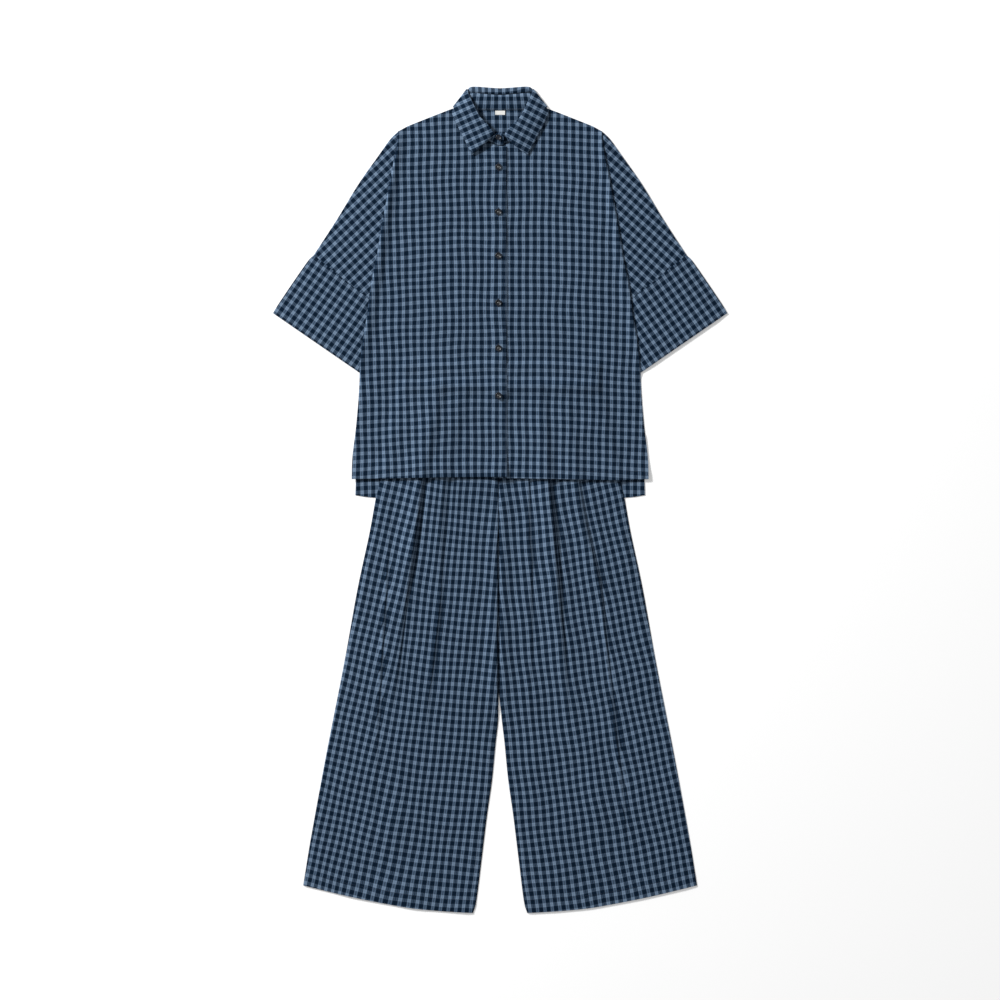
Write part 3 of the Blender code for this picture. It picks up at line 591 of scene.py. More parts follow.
def new_material(name, roughness):
    """A material with its shader, and its node tree."""
    material = bpy.data.materials.new(name)
    material.use_nodes = True
    tree = material.node_tree
    shader = tree.nodes["Principled BSDF"]
    shader.inputs["Roughness"].default_value = roughness
    return material, tree, shader


def math_node(tree, operation, *items):
    """A Math node's result from sockets or numbers."""
    node = tree.nodes.new("ShaderNodeMath")
    node.operation = operation
    for socket, item in zip(node.inputs, items):
        if isinstance(item, (int, float)):
            socket.default_value = item
        else:
            tree.links.new(item, socket)
    return node.outputs[0]


def ramp(tree, source, low, high, to_low=0.0, to_high=1.0):
    """A value mapped softly from one range to another."""
    node = tree.nodes.new("ShaderNodeMapRange")
    node.interpolation_type = "SMOOTHSTEP"
    tree.links.new(source, node.inputs["Value"])
    for name, number in (("From Min", low), ("From Max", high), ("To Min", to_low), ("To Max", to_high)):
        node.inputs[name].default_value = number
    return node.outputs["Result"]


def mixed(tree, share, first, second):
    """Two colours mixed by a share."""
    node = tree.nodes.new("ShaderNodeMix")
    node.data_type = "RGBA"
    for index, item in ((0, share), (6, first), (7, second)):
        if isinstance(item, (tuple, int, float)):
            node.inputs[index].default_value = item
        else:
            tree.links.new(item, node.inputs[index])
    return node


def bumped(tree, shader, height, strength, distance):
    """Give a shader its relief."""
    bump = tree.nodes.new("ShaderNodeBump")
    bump.inputs["Strength"].default_value = strength
    bump.inputs["Distance"].default_value = distance
    links(tree, [(height, bump.inputs["Height"]), (bump.outputs[0], shader.inputs["Normal"])])


def noise(tree, vector, scale, detail):
    """A noise value at a scale."""
    node = tree.nodes.new("ShaderNodeTexNoise")
    node.inputs["Scale"].default_value = scale
    node.inputs["Detail"].default_value = detail
    tree.links.new(vector, node.inputs["Vector"])
    return node.outputs["Fac"]


def from_screen(red, green, blue):
    """A screen colour as a linear one."""
    made = []
    for part in (red, green, blue):
        part = part / 255
        made.append(part / 12.92 if part <= 0.04045 else ((part + 0.055) / 1.055) ** 2.4)
    return (made[0], made[1], made[2], 1.0)


LIGHT_CHECK = from_screen(112, 133, 157)
WARP_CHECK = from_screen(69, 88, 110)
WEFT_CHECK = from_screen(51, 68, 88)
DARK_CHECK = from_screen(7, 26, 45)
STRIPE_TURN = (-0.02, 0.26)
WOBBLE = 0.06
CORDS = 4
CORD_TONE = -0.07
CROSS_TONE = -0.04
MIXED_CORD_TONE = -0.34
THREADS = 16
SLUB_SCALE = (34.0, 3.0, 1.0)
SLUB_SCALE_ACROSS = (3.0, 34.0, 1.0)
SLUB_TONE = 0.26
WEAR_SCALE = 0.18
WEAR_TONE = 0.16


def gingham():
    """Woven checks: light and dark stripes each way, thread lines, slubs, wear and a weave's relief."""
    material, tree, shader = new_material("gingham", 0.86)
    for name, number in (("Sheen Weight", 0.01), ("Sheen Roughness", 0.5), ("Specular IOR Level", 0.06)):
        shader.inputs[name].default_value = number
    place = tree.nodes.new("ShaderNodeUVMap")
    place.uv_map = "cloth"
    cloth = place.outputs["UV"]
    apart = tree.nodes.new("ShaderNodeSeparateXYZ")
    tree.links.new(cloth, apart.inputs[0])
    u, v = apart.outputs["X"], apart.outputs["Y"]

    def calc(operation, *items):
        return math_node(tree, operation, *items)

    def wave(operation, source, turns):
        return calc(operation, calc("MULTIPLY", source, turns * 2 * math.pi))

    def slubs(scale):
        stretch = tree.nodes.new("ShaderNodeMapping")
        stretch.inputs["Scale"].default_value = scale
        tree.links.new(cloth, stretch.inputs["Vector"])
        return noise(tree, stretch.outputs[0], 1.0, 3.0)

    wobble = noise(tree, cloth, 1.3, 1.0)
    u_soft = calc("MULTIPLY_ADD", wobble, WOBBLE, u)
    v_soft = calc("MULTIPLY_ADD", wobble, -WOBBLE, v)
    warp = ramp(tree, wave("COSINE", u_soft, 1), *STRIPE_TURN)
    weft = ramp(tree, wave("COSINE", v_soft, 1), *STRIPE_TURN)
    low = mixed(tree, warp, DARK_CHECK, WARP_CHECK)
    high = mixed(tree, warp, WEFT_CHECK, LIGHT_CHECK)
    checks = mixed(tree, weft, low.outputs[2], high.outputs[2])
    cords = wave("COSINE", u_soft, CORDS)
    cross = wave("COSINE", v_soft, CORDS)
    mids = calc("ABSOLUTE", calc("SUBTRACT", warp, weft))
    tone = calc("MULTIPLY", calc("MULTIPLY", cords, MIXED_CORD_TONE), mids)
    tone = calc("MULTIPLY_ADD", cords, CORD_TONE, tone)
    tone = calc("MULTIPLY_ADD", cross, CROSS_TONE, tone)
    tone = calc("ADD", tone, 1.0)
    slub = slubs(SLUB_SCALE)
    slub_across = slubs(SLUB_SCALE_ACROSS)
    wear = noise(tree, cloth, WEAR_SCALE, 3.0)
    for source, amount in ((slub, SLUB_TONE), (slub_across, SLUB_TONE), (wear, WEAR_TONE)):
        tone = calc("MULTIPLY_ADD", calc("SUBTRACT", source, 0.5), amount, tone)
    grey = tree.nodes.new("ShaderNodeCombineColor")
    shaded = mixed(tree, 1.0, checks.outputs[2], grey.outputs[0])
    shaded.blend_type = "MULTIPLY"
    links(tree, [(tone, grey.inputs[0]), (tone, grey.inputs[1]), (tone, grey.inputs[2]),
                 (shaded.outputs[2], shader.inputs["Base Color"])])
    relief = calc("MULTIPLY", wave("SINE", u, THREADS), wave("SINE", v, THREADS))
    relief = calc("MULTIPLY_ADD", slub, 0.8, relief)
    relief = calc("MULTIPLY_ADD", cords, -0.5, relief)
    bumped(tree, shader, relief, 0.5, 0.00012)
    tree.links.new(ramp(tree, slub_across, 0.2, 0.8, 0.8, 0.93), shader.inputs["Roughness"])
    return material


def surface(name, colour, second, roughness, scale, strength, sheen=0.0):
    """A plain finish with fine uneven colour and relief."""
    material, tree, shader = new_material(name, roughness)
    shader.inputs["Sheen Weight"].default_value = sheen
    place = tree.nodes.new("ShaderNodeTexCoord")
    grain = noise(tree, place.outputs["Object"], scale, 4.0)
    tone = mixed(tree, ramp(tree, grain, 0.3, 0.7), from_screen(*colour), from_screen(*second))
    rough = ramp(tree, grain, 0.2, 0.8, roughness - 0.05, roughness + 0.05)
    links(tree, [(tone.outputs[2], shader.inputs["Base Color"]), (rough, shader.inputs["Roughness"])])
    bumped(tree, shader, grain, strength, 0.0001)
    return material


GINGHAM = gingham()
THREAD = surface("thread", (26, 38, 58), (40, 54, 78), 0.75, 3000.0, 0.4, 0.1)
BUTTON = surface("button", (16, 20, 27), (30, 35, 44), 0.32, 220.0, 0.15)
BUTTON_THREAD = surface("button_thread", (150, 152, 152), (186, 186, 182), 0.8, 4000.0, 0.5)
LABEL = surface("label", (222, 222, 218), (243, 243, 240), 0.7, 2600.0, 0.5, 0.2)


# Meshes

def placed(name, data):
    """A new object in the scene."""
    made = bpy.data.objects.new(name, data)
    bpy.context.scene.collection.objects.link(made)
    return made


def plain_mesh(name, vertices, faces):
    """A mesh from its vertices and faces."""
    mesh = bpy.data.meshes.new(name)
    mesh.from_pydata([tuple(v) for v in vertices], [], faces)
    return mesh


def taken_in(piece, node):
    """Let a piece ride on the set's root, and hide the solid it stands for."""
    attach(piece, "root")
    if node:
        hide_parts(node)
    return piece


def mesh_piece(name, vertices, faces, material, uv=None, node=None, slot="gingham"):
    """A mesh that rides on the set, with cloth coordinates for its vertices."""
    mesh = plain_mesh(name, vertices, faces)
    mesh.validate()
    mesh.shade_smooth()
    if uv is not None:
        layer = mesh.uv_layers.new(name="cloth")
        index = np.empty(len(mesh.loops), np.int32)
        mesh.loops.foreach_get("vertex_index", index)
        layer.uv.foreach_set("vector", uv.reshape(-1, 2)[index].astype(np.float32).ravel())
    mesh.materials.append(material)
    return taken_in(placed(name, mesh), node)


def grid_piece(name, grid, uv=None, material=GINGHAM, slot="gingham", closed=False):
    """A grid of points as a piece that stands for the solid of its name."""
    faces = grid_faces(*grid.shape[:2], closed)
    return mesh_piece(name + "_cloth", grid.reshape(-1, 3), faces, material, uv, name, slot)


def grid_faces(rows, columns, closed=False):
    """Faces of a grid of vertices; a closed one joins its last column to its first."""
    pairs = [(j, (j + 1) % columns) for j in range(columns if closed else columns - 1)]
    return [(i + j, i + k, i + columns + k, i + columns + j)
            for i in range(0, (rows - 1) * columns, columns) for j, k in pairs]


def wall(piece, thickness, offset=1.0):
    """Give a surface the cloth's thickness."""
    made = piece.modifiers.new("wall", "SOLIDIFY")
    made.thickness = thickness
    made.offset = offset
    made.use_even_offset = False


def thin_edge(piece, vertices, share):
    """Let the wall thin out at some of its vertices, as a pressed seam does."""
    group = piece.vertex_groups.new(name="wall")
    group.add(list(range(len(piece.data.vertices))), 1.0, "REPLACE")
    group.add(list(vertices), share, "REPLACE")
    piece.modifiers["wall"].vertex_group = "wall"


def upward(grid):
    """Whether a grid's faces look up."""
    i, j = grid.shape[0] // 2, grid.shape[1] // 2
    a = grid[i + 1, j] - grid[i, j]
    b = grid[i, j + 1] - grid[i, j]
    return b[0] * a[1] - b[1] * a[0] > 0


def edge_distance(points, *which):
    """Distance of each grid point from the named edges, measured along the grid."""
    far = np.ones(points.shape[:2])
    for axis, start, end in ((0, "low", "high"), (1, "first", "last")):
        steps = np.linalg.norm(np.diff(points, axis=axis), axis=2)
        run = np.insert(np.cumsum(steps, axis=axis), 0, 0.0, axis=axis)
        if start in which:
            far = np.minimum(far, run)
        if end in which:
            far = np.minimum(far, np.take(run, [-1], axis=axis) - run)
    return far


def panel(name, points, uv, heights):
    """A panel of cloth with its underside at the heights, added to the pile."""
    grid = raised(points, heights)
    if not upward(grid):
        grid = grid[:, ::-1]
        uv = uv[:, ::-1]
    piece = grid_piece(name, grid, uv + drift(grid[..., :2], len(name) * 7 + 3))
    wall(piece, CLOTH)
    add_to_pile(points, heights + CLOTH)
    return piece


def turned_edge(far, reach, depth):
    """How far a rounded edge sinks, from 0 inside to the depth at the edge."""
    part = np.clip(1 - far / reach, 0.0, 1.0)
    return depth * (1 - np.sqrt(np.clip(1 - part * part, 0.0, 1.0)))


def hem_relief(far, width, height=HEM_RELIEF):
    """A turned hem: a little thicker out to its stitch line, with a faint groove there."""
    thicker = height * smooth((width + 0.0012 - far) / 0.0024)
    return thicker - HEM_GROOVE * np.exp(-((far - width) / 0.0016) ** 2)


# Checks of the pieces

def body_checks(points, column_at, row_at):
    """Checks of the blouse's body: upright columns, and rows that rise towards the placket."""
    x = points[..., 0]
    y = points[..., 1]
    pitch = value(BODY_PITCHES, y, 1)
    drop = math.tan(math.radians(ROW_TILT)) * (soft(np.abs(x), *ROW_BEND) - soft(0.0, *ROW_BEND))
    return np.stack([(x - column_at) / pitch, (y + drop - row_at) / ROW_PITCH], axis=-1)


def drift(points, seed):
    """Slight uneven drift of the checks, as the cloth lies not quite square."""
    rng = np.random.default_rng(seed)
    made = [uneven(points, rng, DRIFT_COUNT, DRIFT_LENGTHS, 0.4, DRIFT_TURN) for _ in range(2)]
    return np.stack(made, axis=-1) * DRIFT / 2


def turned_checks(points, long_angle, cross_angle, at, pitch=PITCH):
    """Checks whose long and cross lines lie at two angles, in degrees from +X."""
    rel = points - at
    made = []
    for angle in (math.radians(long_angle), math.radians(cross_angle)):
        made.append((-rel[..., 0] * math.sin(angle) + rel[..., 1] * math.cos(angle)) / pitch)
    return np.stack(made, axis=-1)


def leg_checks(points, regions, side):
    """Checks of a leg, region by region from the outer edge to the inner one.

    Rows are unbroken. Columns of neighbours agree at one height: above it cloth is hidden in the fold.
    """
    x = points[..., 0]
    y = points[..., 1]

    def leaned(low_lean, high_lean, height):
        high = math.tan(math.radians(high_lean))
        low = math.tan(math.radians(low_lean))
        return high * height + (low - high) * (LEG_TOP_Y * height - height * height / 2) / LEG_LENGTH

    u = None
    meet_x = side * LEG_OUTER_X
    meet_u = 0.0
    for high_lean, low_lean, _, border, narrow in regions:
        shift = leaned(low_lean, high_lean, y) - leaned(low_lean, high_lean, LEG_MEET_Y)
        own_u = meet_u + (x - meet_x - shift) * math.cos(math.radians(low_lean)) / LEG_PITCH
        if u is None:
            u = own_u
        else:
            width = passed_narrow
            for start_y, reach, added in BORDER_WIDENING:
                width = width + added * smooth((start_y - y) / reach)
            share = smooth(0.5 + (value(passed, y, 1) - x) * side / (2 * width))
            u = u * (1 - share) + own_u * share
        if border is not None:
            new_x = float(value(border, LEG_MEET_Y, 1))
            meet_u += (new_x - meet_x) * math.cos(math.radians(low_lean)) / LEG_PITCH
            meet_x = new_x
            passed = border
            passed_narrow = narrow
    rise = math.tan(math.radians(regions[-1][2])) * x
    for outer, inner in zip(regions[:-1], regions[1:]):
        change = math.tan(math.radians(outer[2])) - math.tan(math.radians(inner[2]))
        rise = rise + side * change * soft(side * (x - value(outer[3], y, 1)), 0.0, 0.008)
    return np.stack([u, (y + rise) / LEG_ROW_PITCH], axis=-1)


def drawn_in(points, lines):
    """How far the columns of checks close up over pressed lines, in checks."""
    total = np.zeros(points.shape[:-1])
    for pressed in lines:
        off = (points[..., 0] - value(pressed, points[..., 1], 1)) / PRESSED_WIDTH
        total += value(pressed, points[..., 1], 2) * off * np.exp(-off * off)
    return total


def fold_relief(points, folds, shapes):
    """Soft leg folds: each rises slowly, rounds over its crest and drops on its +X side."""
    x = points[..., 0]
    y = points[..., 1]
    total = np.zeros(x.shape)
    low = smooth((SHAPE_CHANGE[0] - y) / SHAPE_CHANGE[1])
    for fold, (climb_length, top_width, top_share, low_width, low_share) in zip(folds, shapes):
        drop_width = top_width + (low_width - top_width) * low
        share = top_share + (low_share - top_share) * low
        off = x - value(fold, y, 1) + 0.6 * drop_width
        lift = value(fold, y, 2) * FOLD_RISE * share
        climb = np.exp(-(np.minimum(off, 0.0) / climb_length) ** 2)
        drop = 1 - SHARP_DROP * smooth((off + 0.001) / drop_width)
        drop = drop - SLOW_DROP * smooth(off / (4 * drop_width))
        trough = TROUGH * np.exp(-((off - drop_width * 1.15) / (drop_width * 0.6)) ** 2)
        total += lift * (np.where(off < 0, climb, drop) - trough)
    return total


# Building, from the floor up

def make_back():
    """The blouse's back, flat on the floor."""
    left, right = [tucked(body_side(BACK_VENT, side, 0.32, 0.55), side, 0.0) for side in (-1, 1)]
    half = SHOULDER[1:] + BACK_NECK[1:]
    top = across(np.concatenate([left(1.0), mirrored(half, -1), half[-2::-1], right(1.0)]))
    bottom = joined(line(BACK_HEM, -1), line(BACK_HEM[::-1], 1), 0.5)
    points = patch(shares(0.54), shares(0.73), left, right, bottom, top)
    y = points[..., 1]
    far = edge_distance(points, "low")
    vent = np.where(y < 0.125, edge_distance(points, "first", "last"), 1.0)
    relief = hem_relief(far, BACK_HEM_WIDTH)
    relief = relief + hem_relief(vent, VENT_WIDTH, VENT_RELIEF) * smooth((VENT_FADE_Y - y) / 0.01)
    lift = (creases(points, BACK_CREASES) + waves(points, *BACK_WAVES)) * smooth((far - 0.03) / 0.05)
    heights = np.maximum(relief, 0.0) * 0.6 + np.maximum(lift, 0.0) * 0.4
    return panel("blouse_back", points, body_checks(points, *BACK_CHECKS_AT), heights)


def side_points(side, start_y, end_y):
    """The inner edge of a sleeve along the side of the back."""
    places = np.array(SIDE[::-1])

    def on_side(part):
        y = start_y + (end_y - start_y) * listed(part)
        return np.stack([side * np.interp(y, places[:, 1], places[:, 0]), y], 1)
    return tucked(on_side, side, -SLEEVE_ROOM)


def tube(name, points, uv, height, room=0.0, seam=None):
    """A flattened tube: its columns go over the top, round the outer fold and back below."""
    outward = points[:, :1] - points[:, -1:]
    bend = height / 2
    way = outward / np.linalg.norm(outward, axis=2)[..., None] * bend
    run = np.linalg.norm(points - points[:, :1], axis=2)
    run_in = np.linalg.norm(points - points[:, -1:], axis=2)
    inset = points + way * (np.exp(-run_in / 0.006) - np.exp(-run / 0.006))[..., None]
    top = height + room * smooth(np.minimum(run, run_in) / 0.03)
    lift = top - turned_edge(edge_distance(points, seam), 0.003, 0.0004) if seam else top
    turn = np.linspace(0, math.pi, 8)[1:-1]
    out = way * np.sin(turn)[None, :, None]
    grid = np.concatenate([raised(inset, lift)[:, ::-1],
                           raised(points[:, :1] - way + out, bend + bend * np.cos(turn)),
                           raised(inset, 0.0),
                           raised(points[:, -1:] + way - out, bend - bend * np.cos(turn))], axis=1)
    uv = np.concatenate([uv[:, ::-1], np.repeat(uv[:, :1], len(turn), axis=1),
                         uv, np.repeat(uv[:, -1:], len(turn), axis=1)], axis=1)
    piece = grid_piece(name, grid, uv, closed=True)
    outward_faces(piece)
    wall(piece, CLOTH, -1.0)
    add_to_pile(points, top)
    return piece


def outward_faces(piece):
    """Turn a closed piece's faces outwards."""
    shape = bmesh.new()
    shape.from_mesh(piece.data)
    bmesh.ops.recalc_face_normals(shape, faces=shape.faces)
    shape.to_mesh(piece.data)
    shape.free()


def make_sleeve(side, name):
    """A sleeve and its deep band, each a flattened tube that meets the other at the band seam."""
    drop = mirrored(SLEEVE_WAY, side) * -0.0004
    seam, hem = [[mirrored(top, side), side_points(side, inner[1], inner[1])(0.0)[0]]
                 for top, inner in ((BAND_TOP[0], BAND_SEAM_INNER), (BAND_TOP[-1], SLEEVE_HEM_INNER))]
    armhole = tucked(line(ARMHOLE, side), side, -SLEEVE_ROOM)
    made = []
    for part, top, start, end, length, turns, at, sewn in (
            ("sleeve_", SLEEVE_TOP, armhole, straight(*seam), 0.26, SLEEVE_TURNS, SLEEVE_CHECKS_AT, "high"),
            ("sleeve_band_", BAND_TOP, straight(seam[0] + drop, seam[1] + drop), straight(*hem), 0.14,
             BAND_TURNS, BAND_CHECKS_AT, "low")):
        inner = side_points(side, start(1.0)[0][1], end(1.0)[0][1])
        points = patch(shares(0.2), shares(length), line(top, side), inner, start, end)
        uv = turned_checks(points, *turns[side], mirrored(at, side))
        made.append(tube(part + name, points, uv, TUBE_HEIGHT, SLEEVE_ROOM, sewn))
    return made


def side_by_side(y):
    """1 where the two legs touch, and 0 below, where they part."""
    return smooth((y - LEGS_PART[0]) / LEGS_PART[1])


def leg_lines(side, inset=0.0):
    """Inner edge, side edge, hem and waist of one leg, drawn in by the inset."""
    inner_line, outer_line, hem_line = [line(table[::-1], side)
                                        for table in (TROUSER_INNER, TROUSER_SIDE, TROUSER_HEM)]

    def inner(part):
        places = inner_line(part).copy()
        touching = side_by_side(places[:, 1])
        half = SLIT_HALF * smooth((SLIT_TOP - places[:, 1]) / 0.07) if inset == 0.0 else -BACKS_LAP
        places[:, 0] += touching * (SLIT_X + side * half) + (1 - touching) * side * inset
        return places

    def outer(part):
        return outer_line(part) - np.array([side * inset, 0.0])

    def hem(part):
        part = listed(part)
        return hem_line(part) + np.stack([side * inset * (1 - 2 * part), np.zeros(len(part))], 1)
    return inner, outer, hem, straight(inner(1.0)[0], outer(1.0)[0])


def make_leg_back(side, name, checks):
    """The back of one leg, drawn in a little from the front's edges."""
    points = patch(shares(0.3, 0.003), shares(0.99, 0.005), *leg_lines(side, BACK_INSET))
    hem = np.maximum(hem_relief(edge_distance(points, "low"), LEG_HEM_WIDTH), 0.0)
    return panel("trouser_back_" + name, points, leg_checks(points, checks, side),
                 support(points) - GAP + hem * 0.5)


def make_leg_front(side, name, folds, shapes, checks, crease_table, lines):
    """The front of one leg, with its folds; its edges turn down over the back's."""
    columns = np.insert(shares(0.3, 0.0021), 1, 0.0036)
    points = patch(columns, shares(0.99, 0.005), *leg_lines(side))
    y = points[..., 1]
    touching = side_by_side(y)
    hem_far = edge_distance(points, "low")
    inner_far = edge_distance(points, "first")
    outer_far = edge_distance(points, "last")
    sides = np.minimum(inner_far * 1.6, outer_far)
    lying = support(points, 6, pile_before_fronts)
    relief = fold_relief(points, folds, shapes) + creases(points, crease_table)
    relief = relief + FOLD_BASE * smooth((y + 0.6) / 0.4)
    uneven_part = waves(points, LEG_WAVES_SEED + side, LEG_WAVES) + 0.0003
    relief = np.maximum(relief, 0.0) + uneven_part * smooth(sides / 0.02)
    relief = relief * smooth(sides / 0.012 + 0.05) + np.maximum(hem_relief(hem_far, LEG_HEM_WIDTH), 0.0)
    by_slit = touching * smooth((0.01 - y) / 0.1) * smooth((0.03 - inner_far) / 0.025)
    relief = relief + SLIT_STAND[side] * by_slit
    sink = turned_edge(np.minimum(inner_far * (1.6 + 2.9 * touching), outer_far), LEG_EDGE, 1.0)
    sink = sink * (1 - 0.6 * smooth((y - SLIT_TOP) / 0.02) * (inner_far < SLIT_NEAR))
    ground = read(pile_before_legs, points) + 0.0001
    ground = np.where(inner_far < SLIT_NEAR, ground * (1 - touching) + lying * touching, ground)
    heights = (lying + relief) * (1 - sink) + ground * sink
    uv = leg_checks(points, checks, side)
    uv[..., 0] += drawn_in(points, lines)
    return panel("trouser_front_" + name, points, uv, heights)


def make_waistband():
    """The elastic casing, a flattened and finely gathered tube under the blouse."""
    x = WAIST_HALF * (1 - 2 * shares(2 * WAIST_HALF, 0.003))
    y = WAIST_Y + 0.0004 + WAISTBAND_DEPTH * shares(WAISTBAND_DEPTH)
    points = np.stack(np.meshgrid(x, y), axis=-1)
    base = float(support(points).max())
    piece = tube("waistband", points, points / PITCH, WAISTBAND_HEIGHT)
    for vertex in piece.data.vertices:
        place = vertex.co
        if place.z > 0.002:
            gather_phase = place.x * 2 * math.pi / 0.011 + 1.5 * math.sin(place.x * 40)
            place.z += 0.0003 * math.sin(gather_phase)
        place.z += base
    add_to_pile(points, np.full(points.shape[:2], base + WAISTBAND_HEIGHT + 0.0004))


def make_front(side, name, hem_table, crease_table):
    """A blouse front laid over everything else, from its side seam to its edge at the placket."""
    outer = body_side(FRONT_VENT, side, 0.25, 0.53)
    edge_x = side * -PLACKET_EDGE
    top = across(mirrored(SHOULDER + FRONT_NECK[1:], side))
    bottom = across(mirrored(hem_table, side))
    inner = straight((edge_x, bottom(1.0)[0][1]), (edge_x, top(1.0)[0][1]))
    points = patch(shares(0.29), shares(0.69), outer, inner, bottom, top)
    y = points[..., 1]
    hem_far, side_far, free_far = [edge_distance(points, edge) for edge in ("low", "first", "last")]
    vent = smooth((VENT_FADE_Y - y) / 0.01)
    inside = smooth(side_far / 0.03) * smooth(hem_far / 0.02)
    by_sleeve = smooth((y - SLEEVE_LOW_Y) / 0.1) * smooth((0.7 - y) / 0.06)
    by_sleeve = by_sleeve * smooth((0.03 - side_far) / 0.028)
    relief = (creases(points, crease_table) + waves(points, FRONT_WAVES_SEED + side, FRONT_WAVES)) * inside
    relief = np.maximum(relief + 0.0002, -0.0001)
    relief = (relief + np.maximum(hem_relief(hem_far, FRONT_HEM_WIDTH), 0.0)
              + HEM_STAND * smooth((0.045 - hem_far) / 0.045) + ARMHOLE_STAND * by_sleeve
              + np.maximum(hem_relief(side_far, VENT_WIDTH, VENT_RELIEF), 0.0) * vent
              + PLACKET_RELIEF * smooth((0.03 - free_far) / 0.004))
    sink = turned_edge(side_far, SEAM_EDGE, 1.0) * (1 - vent)
    ground = 0.0002 + smooth((y - SLEEVE_LOW_Y) / 0.02) * read(sleeve_pile, points)
    heights = (support(points, 14) + relief) * (1 - sink) + ground * sink
    heights = heights - np.minimum(turned_edge(np.minimum(hem_far, free_far), *FREE_EDGE), relief)
    uv = body_checks(points, *FRONT_CHECKS_AT[side])
    return panel("blouse_front_" + name, points, uv, heights)


# Collar

def section(entry, side, level, angle, radius=0.0, drop=0.0):
    """One collar section; its stand and leaf are turned about the fold line by the angle."""
    roll = np.array([side * entry[0], entry[1], 0.0])
    edge = np.array([side * entry[2], entry[3], 0.0])
    neck = np.array([side * entry[4], entry[5], 0.0])
    along = (roll - edge) / np.linalg.norm(roll - edge)
    outward = np.array([-along[1], along[0], 0.0]) * (1 if -along[1] * side > 0 else -1)
    normal = np.array([0.0, 0.0, 1.0]) * math.cos(angle) + outward * math.sin(angle)
    stand = np.array([0.0, 0.0, level]) + normal * radius
    return {"roll": roll, "edge": edge, "neck": neck, "depth": entry[6], "along": along,
            "stand": stand, "leaf": stand + normal * COLLAR_PITCH, "drop": drop}


def collar_sections(side):
    """Sections of one half of the collar, from its front edge to the middle of the back."""
    made = []
    for index, entry in enumerate(COLLAR_FRONT):
        if index == 0:
            entry = FRONT_CORNERS[side] + entry[2:]
        part = index / (len(COLLAR_FRONT) - 1)
        level = STAND_UNDER_Z
        if side < 0:
            level = STAND_OVER_Z + (STAND_UNDER_Z - STAND_OVER_Z) * max(0.0, (part - 0.5) / 0.5)
        made.append(section(entry, side, level, 0.0, drop=LEAF_DROPS[index]))
    middle = (STAND_UNDER_Z + STAND_BACK_Z) / 2
    for step in range(FOLD_STEPS + 1):
        angle = math.pi * step / FOLD_STEPS
        made.append(section(COLLAR_FOLD, side, middle, angle, (STAND_UNDER_Z - STAND_BACK_Z) / 2))
    for entry in COLLAR_BACK:
        made.append(section(entry, side, STAND_BACK_Z, math.pi))
    return made


def leaf_points(part):
    """Points across the leaf: up from the stand to the roll line, over it, and out to the edge."""
    roll = part["roll"]
    along = part["along"]
    turn = COLLAR_PITCH / 2
    middle = (part["stand"] + part["leaf"]) / 2
    half = (part["leaf"] - part["stand"]) / 2
    fall = part["edge"] - roll
    length = np.linalg.norm(fall)
    covered = min(0.88, (roll - part["neck"]) @ along / length + STAND_COVER)
    edge_lift = part["leaf"] * (1 - part["drop"]) + np.array([0.0, 0.0, LEAF_EDGE_Z]) * part["drop"]
    inner = roll - along * turn
    points = [roll - along * part["depth"] + part["stand"]]
    points.append((points[0] + inner + part["stand"]) / 2)
    for angle in np.linspace(-90, 90, 9):
        a = math.radians(angle)
        points.append(inner + along * turn * math.cos(a) + middle + half * math.sin(a))
    for share in (0.25, 0.5, 0.75, 1.0):
        points.append(inner * (1 - share) + (roll + fall * covered) * share + part["leaf"])
    for share in (0.25, 0.5, 0.75, 0.9, 1.0):
        lift = part["leaf"] * (1 - smooth(share)) + edge_lift * smooth(share)
        points.append(roll + fall * (covered + (1 - covered) * share) + lift)
    return points


def stand_row(low, top):
    """Points across the stand, from its lower edge to its upper one."""
    return [low * (1 - share) + top * share for share in (0.0, 0.2, 0.4, 0.6, 0.8, 1.0)]


def stand_points(part):
    """Points across the stand, from its lower edge to its seam with the leaf."""
    top = part["roll"] - part["along"] * (part["depth"] + GAP) + part["stand"]
    return stand_row(part["neck"] + part["stand"], top)


def end_points(entry, side, level):
    """Points across a rounded end of the stand."""
    low = np.array([side * entry[2], entry[3] + (UNDER_END_RISE if side > 0 else 0.0), level])
    return stand_row(low, np.array([side * entry[0], entry[1], level]))


def denser(rows):
    """Rows of points with more rows between them, on smooth curves."""
    rows = np.array(rows)
    made = []
    for index in range(len(rows) - 1):
        before = rows[max(index - 1, 0)]
        start = rows[index]
        end = rows[index + 1]
        after = rows[min(index + 2, len(rows) - 1)]
        gap = np.linalg.norm(end - start, axis=1)[:, None] + 1e-9
        leave = (end - before) * gap / (gap + np.linalg.norm(start - before, axis=1)[:, None])
        arrive = (after - start) * gap / (gap + np.linalg.norm(after - end, axis=1)[:, None])
        for step in np.arange(ROWS_A_SECTION) / ROWS_A_SECTION:
            made.append(bent(start, end, leave, arrive, step))
    return np.array(made + [rows[-1]])


